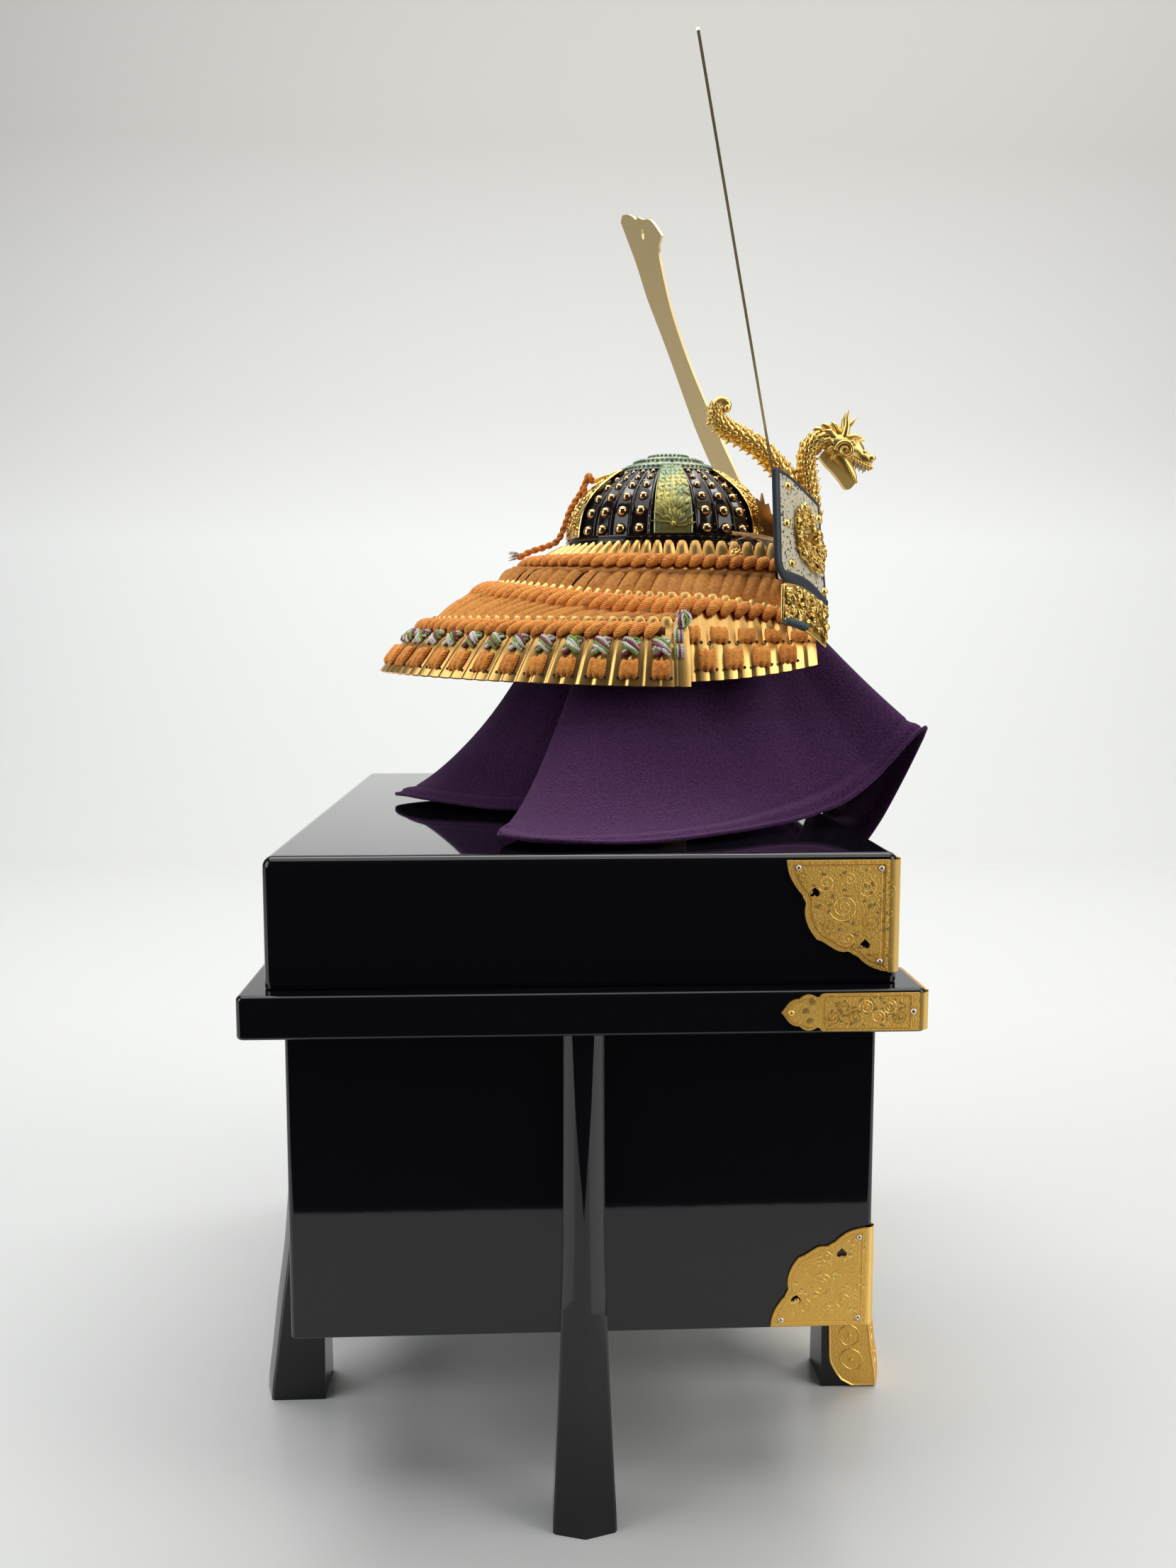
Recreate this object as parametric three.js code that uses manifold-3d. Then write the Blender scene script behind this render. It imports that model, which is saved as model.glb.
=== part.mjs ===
// A display helmet with horns, dragon crest and laced neck guard, on its cloth-draped post and
// lacquered six-legged chest. Millimetres, +Z up, front towards -Y, chest centred on X = 0.

import * as THREE from 'three';
import { mergeVertices } from 'three/addons/utils/BufferGeometryUtils.js';
import Module from 'manifold-3d';

// Driving dimensions
const FIT = 0.3;
const LID_WIDTH = 370;
const LID_DEPTH = 260;
const LID_HEIGHT = 54.3;
const LID_WALL = 7;
const LID_EDGE = 4.5;
const RIM_OVERHANG = 9.7;
const RIM_HEIGHT = 18;
const BODY_INSET = 6.6;
const BODY_HEIGHT = 133.3;
const BODY_WALL = 7;
const LEG_CLEARANCE = 80;
const LEG_WIDTH = 27;
const LEG_SIDE_OUT = 30.5;
const LEG_END_OUT = 20;
const LEG_RIDGE = 4.4;
const LEG_SPACING = 148;
const PLATE_THICKNESS = 0.9;
const LID_PLATE = 47;
const BODY_PLATE = 43.3;
const RIM_BAND_LENGTH = 60;
const RIM_BAND_HEIGHT = 15.6;
const BOWL_RADIUS = 52.5;
const BOWL_HEIGHT = 36;
const BOWL_WALL = 2.2;
const BOWL_STEPS = 5;
const PLATES = 24;
const RIB_HEIGHT = 0.7;
const BOWL_BASE = 426;
const BOWL_CENTRE = -53;
const CLOTH_THICKNESS = 1.4;
const CLOTH_NECK = 28;
const CLOTH_THROAT = 40;
const HORN_THICKNESS = 1.3;
const HORN_LENGTH = 204;
const SCALE_THICKNESS = 1.6;
const BRAID_THICKNESS = 3;
const LACE_THICKNESS = 1.3;
const GUARD_CENTRE = BOWL_CENTRE + 7.1;
const TURNBACK_THICKNESS = 1.6;

// Heights that follow from them
const bodyTop = LEG_CLEARANCE + BODY_HEIGHT;
const rimBottom = bodyTop + FIT;
const rimTop = rimBottom + RIM_HEIGHT;
const lidBottom = rimTop + FIT;
const lidTop = lidBottom + LID_HEIGHT;
const bodyWidth = LID_WIDTH - 2 * BODY_INSET;
const bodyDepth = LID_DEPTH - 2 * BODY_INSET;

// Leg outline: share of the height from the floor, share of the foot width, share of the foot reach
const LEG = [
  { up: 0.00, width: 1.00, out: 1.00 },
  { up: 0.10, width: 0.93, out: 0.92 },
  { up: 0.22, width: 0.84, out: 0.82 },
  { up: 0.38, width: 0.74, out: 0.67 },
  { up: 0.58, width: 0.66, out: 0.57 },
  { up: 1.00, width: 0.63, out: 0.51 },
];

// Corner plate edge: distance from the corner and free height, as shares of the plate size
const SCALLOP = [
  { along: 0.00, deep: 0.98 },
  { along: 0.16, deep: 0.98 },
  { along: 0.24, deep: 0.90 },
  { along: 0.33, deep: 0.80 },
  { along: 0.42, deep: 0.79 },
  { along: 0.47, deep: 0.69 },
  { along: 0.60, deep: 0.65 },
  { along: 0.69, deep: 0.55 },
  { along: 0.75, deep: 0.42 },
  { along: 0.84, deep: 0.38 },
  { along: 0.86, deep: 0.24 },
  { along: 0.97, deep: 0.13 },
  { along: 1.00, deep: 0.06 },
];

// Rim band end: distance from the corner and half height, as shares of length and height
const TREFOIL = [
  { along: 0.00, half: 0.50 },
  { along: 0.72, half: 0.50 },
  { along: 0.735, half: 0.40 },
  { along: 0.77, half: 0.42 },
  { along: 0.82, half: 0.47 },
  { along: 0.87, half: 0.40 },
  { along: 0.90, half: 0.29 },
  { along: 0.94, half: 0.33 },
  { along: 1.00, half: 0.03 },
];

// Bowl outline: radius and height above the base as shares
const BOWL = [
  { radius: 0.990, height: -0.10 },
  { radius: 0.990, height: 0.00 },
  { radius: 0.972, height: 0.17 },
  { radius: 0.926, height: 0.39 },
  { radius: 0.823, height: 0.61 },
  { radius: 0.686, height: 0.79 },
  { radius: 0.495, height: 0.97 },
  { radius: 0.260, height: 1.07 },
  { radius: 0.000, height: 1.10 },
];

// Cloth hem: bearing in degrees from +X, reach from the post, lift over the lid, bend of the fall
// and the degrees by which the fold above it swings round
const HEM = [
  { bearing: 5, reach: 166, lift: 0, bend: 1.9, swing: 0 },
  { bearing: 18, reach: 178, lift: 0, bend: 2.0, swing: 6 },
  { bearing: 32, reach: 128, lift: 1, bend: 1.6, swing: 6 },
  { bearing: 47, reach: 100, lift: 2, bend: 1.5, swing: 4 },
  { bearing: 62, reach: 108, lift: 1, bend: 1.5, swing: 1 },
  { bearing: 74, reach: 130, lift: 0, bend: 1.55, swing: 0 },
  { bearing: 83, reach: 149, lift: 1, bend: 1.55, swing: 0 },
  { bearing: 96, reach: 138, lift: 3, bend: 1.55, swing: 0 },
  { bearing: 110, reach: 119, lift: 2, bend: 1.5, swing: -1 },
  { bearing: 122, reach: 106, lift: 1, bend: 1.4, swing: -3 },
  { bearing: 134, reach: 92, lift: 1, bend: 1.3, swing: -7 },
  { bearing: 144, reach: 130, lift: 1, bend: 1.45, swing: -10 },
  { bearing: 151.5, reach: 184, lift: 1, bend: 2.0, swing: -12 },
  { bearing: 157.5, reach: 190, lift: 0, bend: 2.0, swing: -12 },
  { bearing: 169, reach: 176, lift: 0, bend: 1.95, swing: -8 },
  { bearing: 184, reach: 150, lift: 1, bend: 1.75, swing: -3 },
  { bearing: 198, reach: 131, lift: 2, bend: 1.4, swing: 0 },
  { bearing: 212, reach: 124, lift: 6, bend: 1.3, swing: 0 },
  { bearing: 225, reach: 130, lift: 18, bend: 1.2, swing: 0 },
  { bearing: 234, reach: 145, lift: 39, bend: 1.15, swing: 0 },
  { bearing: 240, reach: 119, lift: -6, bend: 1.0, swing: 0 },
  { bearing: 250, reach: 104, lift: -22, bend: 1.0, swing: 0 },
  { bearing: 270, reach: 94, lift: -26, bend: 1.0, swing: 0 },
  { bearing: 290, reach: 103, lift: -22, bend: 1.0, swing: 0 },
  { bearing: 301, reach: 118, lift: -8, bend: 1.0, swing: 0 },
  { bearing: 307, reach: 140, lift: 34, bend: 1.15, swing: 0 },
  { bearing: 318, reach: 127, lift: 15, bend: 1.2, swing: 0 },
  { bearing: 332, reach: 128, lift: 5, bend: 1.35, swing: 0 },
  { bearing: 350, reach: 148, lift: 1, bend: 1.75, swing: 0 },
];

// Neck guard tiers from the lower edge up: half width, reach back, and heights over the bowl's
// base at the side and at the back, and how far the row climbs towards its front end
const TIER_1 = {
  front: 76.2,
  narrow: 0.15,
  rows: [
    { side: 66.0, back: 78, low: -21, high: -16, ahead: -4 },
    { side: 61.5, back: 66, low: -13, high: -11.5, ahead: -3 },
    { side: 56.6, back: 49.6, low: -4, high: -4, ahead: -1.7 },
  ],
};
const TIER_2 = {
  front: 71,
  narrow: 0.13,
  rows: [
    { side: 96.0, back: 121, low: -72, high: -54, ahead: 8 },
    { side: 91.0, back: 114, low: -58, high: -45, ahead: 3 },
    { side: 84.0, back: 104, low: -45, high: -33, ahead: -4 },
    { side: 75.0, back: 82, low: -29.8, high: -20.5, ahead: -10.5 },
  ],
};
const TIER_3 = {
  front: 7.3,
  narrow: 0.0,
  rows: [
    { side: 105.4, back: 146.3, low: -74, high: -68, ahead: 0 },
    { side: 101.6, back: 135.0, low: -61, high: -54, ahead: 0 },
    { side: 97.0, back: 126.0, low: -51, high: -46.5, ahead: 0 },
    { side: 91.5, back: 117.0, low: -42, high: -40, ahead: 0 },
  ],
};

// Horn in its own plane: distance out from the root and height, as shares of its length
const HORN_OUTER = [
  { out: 0.098, up: 0.000 },
  { out: 0.157, up: 0.059 },
  { out: 0.225, up: 0.147 },
  { out: 0.287, up: 0.239 },
  { out: 0.342, up: 0.337 },
  { out: 0.379, up: 0.416 },
  { out: 0.418, up: 0.511 },
  { out: 0.472, up: 0.634 },
  { out: 0.529, up: 0.754 },
  { out: 0.564, up: 0.858 },
  { out: 0.596, up: 0.931 },
  { out: 0.627, up: 1.000 },
];
const HORN_TIP = [
  { out: 0.574, up: 1.007 },
  { out: 0.523, up: 0.995 },
  { out: 0.478, up: 0.964 },
  { out: 0.429, up: 0.949 },
  { out: 0.397, up: 0.921 },
  { out: 0.375, up: 0.892 },
  { out: 0.399, up: 0.873 },
  { out: 0.410, up: 0.850 },
];
const HORN_INNER = [
  { out: 0.405, up: 0.788 },
  { out: 0.390, up: 0.698 },
  { out: 0.364, up: 0.617 },
  { out: 0.327, up: 0.529 },
  { out: 0.288, up: 0.452 },
  { out: 0.256, up: 0.392 },
  { out: 0.206, up: 0.295 },
  { out: 0.152, up: 0.206 },
  { out: 0.116, up: 0.137 },
  { out: 0.083, up: 0.093 },
  { out: 0.039, up: 0.054 },
  { out: 0.000, up: 0.034 },
  { out: -0.010, up: 0.000 },
];

// Dragon centrelines in the plane X = 0: place from the bowl's centre and base, half thickness
const DRAGON_NECK = [
  { front: -69, up: 4, half: 5.0 },
  { front: -77, up: 11, half: 5.4 },
  { front: -76.2, up: 22, half: 5.2 },
  { front: -75, up: 32, half: 4.9 },
  { front: -73.6, up: 41, half: 4.7 },
  { front: -74.6, up: 49.5, half: 4.6 },
  { front: -79.4, up: 54.2, half: 4.6 },
  { front: -85.5, up: 53.6, half: 5.2 },
];
const DRAGON_TAIL = [
  { front: -69, up: 10, half: 5.0 },
  { front: -68.4, up: 23, half: 5.4 },
  { front: -62.6, up: 35.2, half: 5.4 },
  { front: -55.8, up: 43, half: 5.2 },
  { front: -48.4, up: 50, half: 5.0 },
  { front: -39.8, up: 55.2, half: 4.9 },
  { front: -31.4, up: 59.2, half: 4.8 },
  { front: -25.6, up: 64.2, half: 4.3 },
  { front: -24.4, up: 70.4, half: 3.4 },
  { front: -27.8, up: 74.2, half: 2.7 },
  { front: -31.4, up: 72.4, half: 2.3 },
  { front: -30.6, up: 69.6, half: 1.9 },
];
const DRAGON_SNOUT = [
  { front: -88, up: 51.5, half: 6.4 },
  { front: -94, up: 51, half: 6.8 },
  { front: -99.5, up: 49, half: 5.6 },
  { front: -105, up: 45.8, half: 4.0 },
  { front: -110.4, up: 43.2, half: 3.2 },
];
const DRAGON_JAW = [
  { front: -90, up: 47, half: 4.0 },
  { front: -93.6, up: 40.6, half: 3.4 },
  { front: -96.6, up: 35, half: 2.8 },
  { front: -98, up: 31, half: 2.2 },
];
const DRAGON_HORN = [
  { front: -92, up: 54.5, half: 2.4 },
  { front: -94.4, up: 59, half: 2.0 },
  { front: -94, up: 64, half: 1.3 },
  { front: -96, up: 68.2, half: 0.5 },
];

const wasm = await Module();
wasm.setup();
const part = new THREE.Group();
const lacquer = { color: 0x050507, roughness: 0.06, metalness: 0 };
const gold = { color: 0xd9a63a, roughness: 0.3, metalness: 1 };
const satinGold = { color: 0xc9a55a, roughness: 0.35, metalness: 1 };
const antique = { color: 0x9a9a55, roughness: 0.4, metalness: 1 };
const orange = { color: 0xe07b2c, roughness: 0.85, metalness: 0 };
const braidMix = { color: 0x9fa370, roughness: 0.85, metalness: 0 };
const purple = { color: 0x2f1246, roughness: 0.95, metalness: 0 };
const leatherWhite = { color: 0xd8d2bd, roughness: 0.7, metalness: 0 };
const timber = { color: 0xb58a5a, roughness: 0.6, metalness: 0 };

function add(name, geometry, look, parent = part) {
  const mesh = new THREE.Mesh(geometry, new THREE.MeshStandardMaterial(look));
  mesh.name = name;
  parent.add(mesh);
  return mesh;
}

// Closed body from corner points and triangles, welded and turned to face out
function bodyFrom(points, triangles) {
  const keys = new Map();
  const xyz = [];
  const weld = points.map((p) => {
    const key = [p.x, p.y, p.z].map((v) => Math.round(v * 500)).join();
    if (!keys.has(key)) {
      keys.set(key, xyz.length / 3);
      xyz.push(p.x, p.y, p.z);
    }
    return keys.get(key);
  });
  const faces = [];
  let volume = 0;
  const corner = (i) => new THREE.Vector3(xyz[3 * i], xyz[3 * i + 1], xyz[3 * i + 2]);
  for (const triangle of triangles) {
    const [a, b, c] = triangle.map((i) => weld[i]);
    if (a === b || b === c || a === c) continue;
    faces.push([a, b, c]);
    volume += corner(a).dot(corner(b).cross(corner(c)));
  }
  const index = faces.flatMap(([a, b, c]) => (volume > 0 ? [a, b, c] : [a, c, b]));
  const geometry = new THREE.BufferGeometry();
  geometry.setAttribute('position', new THREE.Float32BufferAttribute(xyz, 3));
  geometry.setIndex(index);
  geometry.computeVertexNormals();
  return geometry;
}

// Thin body between two surfaces of u and v in 0..1, closed along its free edges
function shell(outer, inner, stepsU, stepsV, ring = false) {
  const points = [];
  const triangles = [];
  const countU = ring ? stepsU : stepsU + 1;
  for (const surface of [outer, inner]) {
    for (let i = 0; i < countU; i += 1) {
      for (let j = 0; j <= stepsV; j += 1) points.push(surface(i / stepsU, j / stepsV));
    }
  }
  const at = (side, i, j) => side * countU * (stepsV + 1) + (i % countU) * (stepsV + 1) + j;
  const quad = (a, b, c, d) => triangles.push([a, b, c], [a, c, d]);
  for (let i = 0; i < stepsU; i += 1) {
    for (let j = 0; j < stepsV; j += 1) {
      quad(at(0, i, j), at(0, i + 1, j), at(0, i + 1, j + 1), at(0, i, j + 1));
      quad(at(1, i, j), at(1, i, j + 1), at(1, i + 1, j + 1), at(1, i + 1, j));
    }
    quad(at(0, i, 0), at(1, i, 0), at(1, i + 1, 0), at(0, i + 1, 0));
    quad(at(0, i, stepsV), at(0, i + 1, stepsV), at(1, i + 1, stepsV), at(1, i, stepsV));
  }
  for (let j = 0; j < stepsV && !ring; j += 1) {
    quad(at(0, 0, j), at(0, 0, j + 1), at(1, 0, j + 1), at(1, 0, j));
    quad(at(0, stepsU, j), at(1, stepsU, j), at(1, stepsU, j + 1), at(0, stepsU, j + 1));
  }
  return bodyFrom(points, triangles);
}

// Body lofted through rings of points with the same count, capped flat at both ends
function loft(rings) {
  const points = rings.flat();
  const count = rings[0].length;
  const triangles = [];
  for (let k = 0; k < rings.length - 1; k += 1) {
    for (let i = 0; i < count; i += 1) {
      const next = (i + 1) % count;
      const [a, b] = [k * count + i, k * count + next];
      triangles.push([a, b, b + count], [a, b + count, a + count]);
    }
  }
  for (const k of [0, rings.length - 1]) {
    const flat = flatten(rings[k]);
    for (const [a, b, c] of THREE.ShapeUtils.triangulateShape(flat, [])) {
      const cap = [a, b, c].map((i) => k * count + i);
      triangles.push(k === 0 ? [cap[0], cap[2], cap[1]] : cap);
    }
  }
  return bodyFrom(points, triangles);
}

// Ring corners in the ring's own plane, turning the same way as the ring does
function flatten(ring) {
  const origin = ring[0];
  const normal = new THREE.Vector3();
  for (let i = 0; i < ring.length; i += 1) {
    const a = ring[i].clone().sub(origin);
    normal.add(a.cross(ring[(i + 1) % ring.length].clone().sub(origin)));
  }
  normal.normalize();
  const u = new THREE.Vector3(1, 0, 0);
  if (Math.abs(normal.x) > 0.9) u.set(0, 1, 0);
  u.addScaledVector(normal, -u.dot(normal)).normalize();
  const v = normal.clone().cross(u);
  return ring.map((p) => new THREE.Vector2(p.dot(u), p.dot(v)));
}

function solidOf(geometry) {
  const bare = geometry.clone();
  bare.deleteAttribute('normal');
  bare.deleteAttribute('uv');
  const merged = mergeVertices(bare, 1e-4);
  return new wasm.Manifold(new wasm.Mesh({
    numProp: 3,
    vertProperties: new Float32Array(merged.attributes.position.array),
    triVerts: new Uint32Array(merged.index.array),
  }));
}

function geometryOf(solid) {
  const mesh = solid.getMesh();
  const geometry = new THREE.BufferGeometry();
  geometry.setAttribute('position', new THREE.Float32BufferAttribute(mesh.vertProperties, 3));
  geometry.setIndex([...mesh.triVerts]);
  geometry.computeVertexNormals();
  return geometry;
}

const joined = (geometries) => geometryOf(geometries.map(solidOf).reduce((a, b) => a.add(b)));
const cut = (geometry, ...tools) => geometryOf(
  tools.reduce((solid, tool) => solid.subtract(solidOf(tool)), solidOf(geometry)),
);
const between = (a, b, t) => a + (b - a) * t;

// Value of a column at a place in a table, straight between its rows
function look(table, key, place, column) {
  const rows = table;
  let k = 0;
  while (k < rows.length - 2 && place > rows[k + 1][key]) k += 1;
  const span = rows[k + 1][key] - rows[k][key];
  const t = THREE.MathUtils.clamp((place - rows[k][key]) / span, 0, 1);
  return between(rows[k][column], rows[k + 1][column], t);
}

// Smooth value of a column through a table's rows, with t running over all of them
function smooth(table, t, column) {
  const place = THREE.MathUtils.clamp(t, 0, 1) * (table.length - 1);
  const k = Math.min(Math.floor(place), table.length - 2);
  const value = (i) => table[THREE.MathUtils.clamp(i, 0, table.length - 1)][column];
  const [a, b, c, d] = [value(k - 1), value(k), value(k + 1), value(k + 2)];
  const s = place - k;
  return 0.5 * (2 * b + (c - a) * s + (2 * a - 5 * b + 4 * c - d) * s * s
    + (3 * b - a - 3 * c + d) * s * s * s);
}

// Rectangle with rounded corners as a ring of points
function roundedRing(width, depth, radius, z) {
  const ring = [];
  const corners = [[1, 1, 0], [-1, 1, 90], [-1, -1, 180], [1, -1, 270]];
  for (const [sx, sy, start] of corners) {
    for (let i = 0; i <= 3; i += 1) {
      const angle = THREE.MathUtils.degToRad(start + i * 30);
      ring.push(new THREE.Vector3(
        sx * (width / 2 - radius) + radius * Math.cos(angle),
        sy * (depth / 2 - radius) + radius * Math.sin(angle),
        z,
      ));
    }
  }
  return ring;
}

// Block with rounded upright edges and softened top and bottom edges
function softBlock(width, depth, bottom, top, corner, edge) {
  const steps = [
    { inset: edge, z: bottom },
    { inset: edge * 0.3, z: bottom + edge * 0.3 },
    { inset: 0, z: bottom + edge },
    { inset: 0, z: top - edge },
    { inset: edge * 0.3, z: top - edge * 0.3 },
    { inset: edge, z: top },
  ];
  return loft(steps.map(({ inset, z }) => roundedRing(
    width - 2 * inset,
    depth - 2 * inset,
    Math.max(corner - inset, 0.4),
    z,
  )));
}

const block = (width, depth, bottom, top) => new THREE.BoxGeometry(width, depth, top - bottom)
  .translate(0, 0, (bottom + top) / 2);

// Chest: open-topped body, rim frame and hollow lid
const hollowWidth = bodyWidth - 2 * BODY_WALL;
const hollowDepth = bodyDepth - 2 * BODY_WALL;
add('chest_body', cut(
  softBlock(bodyWidth, bodyDepth, LEG_CLEARANCE, bodyTop, 2.5, 0.6),
  block(hollowWidth, hollowDepth, LEG_CLEARANCE + BODY_WALL, bodyTop + 5),
), lacquer);
add('chest_rim', cut(
  softBlock(LID_WIDTH + 2 * RIM_OVERHANG, LID_DEPTH + 2 * RIM_OVERHANG, rimBottom, rimTop, 3.5, 1.6),
  block(hollowWidth, hollowDepth, rimBottom - 5, rimTop + 5),
), lacquer);
add('chest_lid', cut(
  softBlock(LID_WIDTH, LID_DEPTH, lidBottom - LID_EDGE, lidTop, LID_EDGE, LID_EDGE),
  block(LID_WIDTH - 2 * LID_WALL, LID_DEPTH - 2 * LID_WALL, lidBottom - 9, lidTop - LID_WALL),
  block(LID_WIDTH + 9, LID_DEPTH + 9, lidBottom - 12, lidBottom),
), lacquer);

// One leg standing on the floor against the plane y = 0, reaching towards -y
function legSection(up, reach) {
  const width = LEG_WIDTH * look(LEG, 'up', up, 'width');
  const out = reach * look(LEG, 'up', up, 'out');
  return { width, out };
}
function leg(reach) {
  const height = bodyTop;
  return loft(LEG.map(({ up }) => {
    const { width, out } = legSection(up, reach);
    return [
      new THREE.Vector3(width / 2, 0, up * height),
      new THREE.Vector3(-width / 2, 0, up * height),
      new THREE.Vector3(-width / 2, LEG_RIDGE - out, up * height),
      new THREE.Vector3(0, -out, up * height),
      new THREE.Vector3(width / 2, LEG_RIDGE - out, up * height),
    ];
  }));
}
function place(mesh, x, y, turn) {
  mesh.position.set(x, y, 0);
  mesh.rotation.z = THREE.MathUtils.degToRad(turn);
}
const sideY = bodyDepth / 2 + FIT;
const endX = bodyWidth / 2 + FIT;
const sides = [{ side: 'left', sx: -1 }, { side: 'right', sx: 1 }];
for (const { side, sx } of sides) {
  const x = sx * LEG_SPACING / 2;
  place(add(`leg_front_${side}`, leg(LEG_SIDE_OUT), lacquer), x, -sideY, 0);
  place(add(`leg_back_${side}`, leg(LEG_SIDE_OUT), lacquer), x, sideY, 180);
  place(add(`leg_end_${side}`, leg(LEG_END_OUT), lacquer), sx * endX, 0, sx * 90);
}

// Gold sleeve round the foot of a front leg, open at the back, its lower back corners rounded
function footCover() {
  const top = LEG_CLEARANCE - 2;
  const rings = [0.02, 0.06, 0.12, 0.2, 0.6, 1].map((share) => {
    const z = share * top;
    const { width, out } = legSection(z / bodyTop, LEG_SIDE_OUT);
    const keep = between(0.62, 0.86, Math.min(1, Math.sqrt(share / 0.2)));
    const path = (gap) => [
      [width / 2 + gap, -out * (1 - keep)],
      [width / 2 + gap, LEG_RIDGE - out - gap * 0.6],
      [0, -out - gap * 1.1],
      [-width / 2 - gap, LEG_RIDGE - out - gap * 0.6],
      [-width / 2 - gap, -out * (1 - keep)],
    ];
    const ring = [...path(FIT + PLATE_THICKNESS), ...path(FIT).reverse()];
    return ring.map(([x, y]) => new THREE.Vector3(x, y, z));
  });
  return loft(rings);
}
for (const { side, sx } of sides) {
  place(add(`foot_cover_${side}`, footCover(), gold), sx * LEG_SPACING / 2, -sideY, 0);
}

// Sheet wrapped round an upright front corner: s runs along it, gap is its distance off the wood
function wrap(sx, width, depth, radius) {
  return (s, z, gap) => {
    const quarter = (Math.PI / 2) * radius;
    const cx = width / 2 - radius;
    const cy = -(depth / 2 - radius);
    const r = radius + gap;
    if (s < -quarter / 2) return new THREE.Vector3(sx * (cx + r), cy - s - quarter / 2, z);
    if (s > quarter / 2) return new THREE.Vector3(sx * (cx - s + quarter / 2), cy - r, z);
    const angle = (s / quarter + 0.5) * (Math.PI / 2);
    return new THREE.Vector3(sx * (cx + r * Math.cos(angle)), cy - r * Math.sin(angle), z);
  };
}

// Heart-shaped hole through a corner plate
function heart(size, depth) {
  const shape = new THREE.Shape();
  shape.moveTo(0, -0.55 * size);
  shape.bezierCurveTo(0.2 * size, -0.2 * size, 0.6 * size, -0.1 * size, 0.5 * size, 0.25 * size);
  shape.bezierCurveTo(0.4 * size, 0.55 * size, 0.1 * size, 0.5 * size, 0, 0.28 * size);
  shape.bezierCurveTo(-0.1 * size, 0.5 * size, -0.4 * size, 0.55 * size, -0.5 * size, 0.25 * size);
  shape.bezierCurveTo(-0.6 * size, -0.1 * size, -0.2 * size, -0.2 * size, 0, -0.55 * size);
  return new THREE.ExtrudeGeometry(shape, { depth, bevelEnabled: false, curveSegments: 2 })
    .translate(0, 0, -depth / 2);
}

// Scalloped plate folded round a corner, hanging down from edgeZ or standing up on it
function cornerPlate(sx, width, depth, radius, size, edgeZ, rise) {
  const on = wrap(sx, width, depth, radius);
  const reach = size + (Math.PI / 4) * radius;
  const stops = SCALLOP.map((row) => row.along);
  const spans = [...stops.slice(1).reverse().map((v) => -v), ...stops.slice(0)];
  const fold = [-0.09, -0.05, 0.05, 0.09];
  const marks = [...spans, ...fold].sort((a, b) => a - b);
  const height = (s) => size * look(SCALLOP, 'along', Math.abs(s), 'deep');
  const pick = (u) => marks[Math.round(u * (marks.length - 1))];
  const sheet = (gap) => (u, v) => {
    const s = pick(u);
    return on(s * reach, edgeZ + rise * height(s) * v, gap);
  };
  const plate = shell(sheet(FIT + PLATE_THICKNESS), sheet(FIT), marks.length - 1, 1);
  const holes = [{ along: 0.305, deep: 0.745 }, { along: 0.755, deep: 0.28 }].flatMap((hole) => {
    const z = edgeZ + rise * size * hole.deep;
    const from = size * hole.along;
    return [
      heart(4.4, 6).rotateX(Math.PI / 2).rotateZ(Math.PI / 2)
        .translate(sx * width / 2, -depth / 2 + from, z),
      heart(4.4, 6).rotateX(Math.PI / 2).translate(sx * (width / 2 - from), -depth / 2, z),
    ];
  });
  return cut(plate, ...holes);
}

// Straight band round a rim corner with trefoil ends
function rimBand(sx) {
  const on = wrap(sx, LID_WIDTH + 2 * RIM_OVERHANG, LID_DEPTH + 2 * RIM_OVERHANG, 3.5);
  const stops = TREFOIL.map((row) => row.along);
  const marks = [...stops.slice(1).reverse().map((v) => -v), ...stops, -0.05, 0.05]
    .sort((a, b) => a - b);
  const middle = rimBottom + RIM_HEIGHT / 2;
  const sheet = (gap) => (u, v) => {
    const s = marks[Math.round(u * (marks.length - 1))];
    const half = RIM_BAND_HEIGHT * look(TREFOIL, 'along', Math.abs(s), 'half');
    return on(s * RIM_BAND_LENGTH, middle + half * (2 * v - 1), gap);
  };
  return shell(sheet(FIT + PLATE_THICKNESS), sheet(FIT), marks.length - 1, 1);
}
for (const { side, sx } of sides) {
  add(`lid_plate_${side}`, cornerPlate(
    sx, LID_WIDTH, LID_DEPTH, LID_EDGE, LID_PLATE, lidTop - LID_EDGE * 0.6, -1,
  ), gold);
  add(`rim_band_${side}`, rimBand(sx), gold);
  add(`body_plate_${side}`, cornerPlate(
    sx, bodyWidth, bodyDepth, 2.5, BODY_PLATE, LEG_CLEARANCE + 1, 1,
  ), gold);
}

// Bowl outline moved inwards by a distance, from the base up to the axis
function bowlOutline(inward, steps = 16) {
  const points = [];
  for (let i = 0; i <= steps; i += 1) {
    const t = i / steps;
    const at = (s) => new THREE.Vector2(
      BOWL_RADIUS * smooth(BOWL, s, 'radius'),
      BOWL_HEIGHT * smooth(BOWL, s, 'height'),
    );
    const here = at(t);
    const along = at(Math.min(1, t + 0.01)).sub(at(Math.max(0, t - 0.01))).normalize();
    const r = Math.max(0, here.x - inward * along.y);
    const z = BOWL_BASE + here.y + inward * along.x;
    points.push(i === steps ? new THREE.Vector2(0, z) : new THREE.Vector2(r, z));
  }
  return points;
}

// Height of the bowl's surface, moved inwards, at a radius
function bowlHeight(radius, inward, steps = 40) {
  const outline = bowlOutline(inward, steps).reverse();
  for (let i = 1; i < outline.length; i += 1) {
    if (outline[i].x >= radius) {
      const span = outline[i].x - outline[i - 1].x;
      const t = span > 0 ? (radius - outline[i - 1].x) / span : 0;
      return between(outline[i - 1].y, outline[i].y, t);
    }
  }
  return outline[outline.length - 1].y;
}

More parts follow.
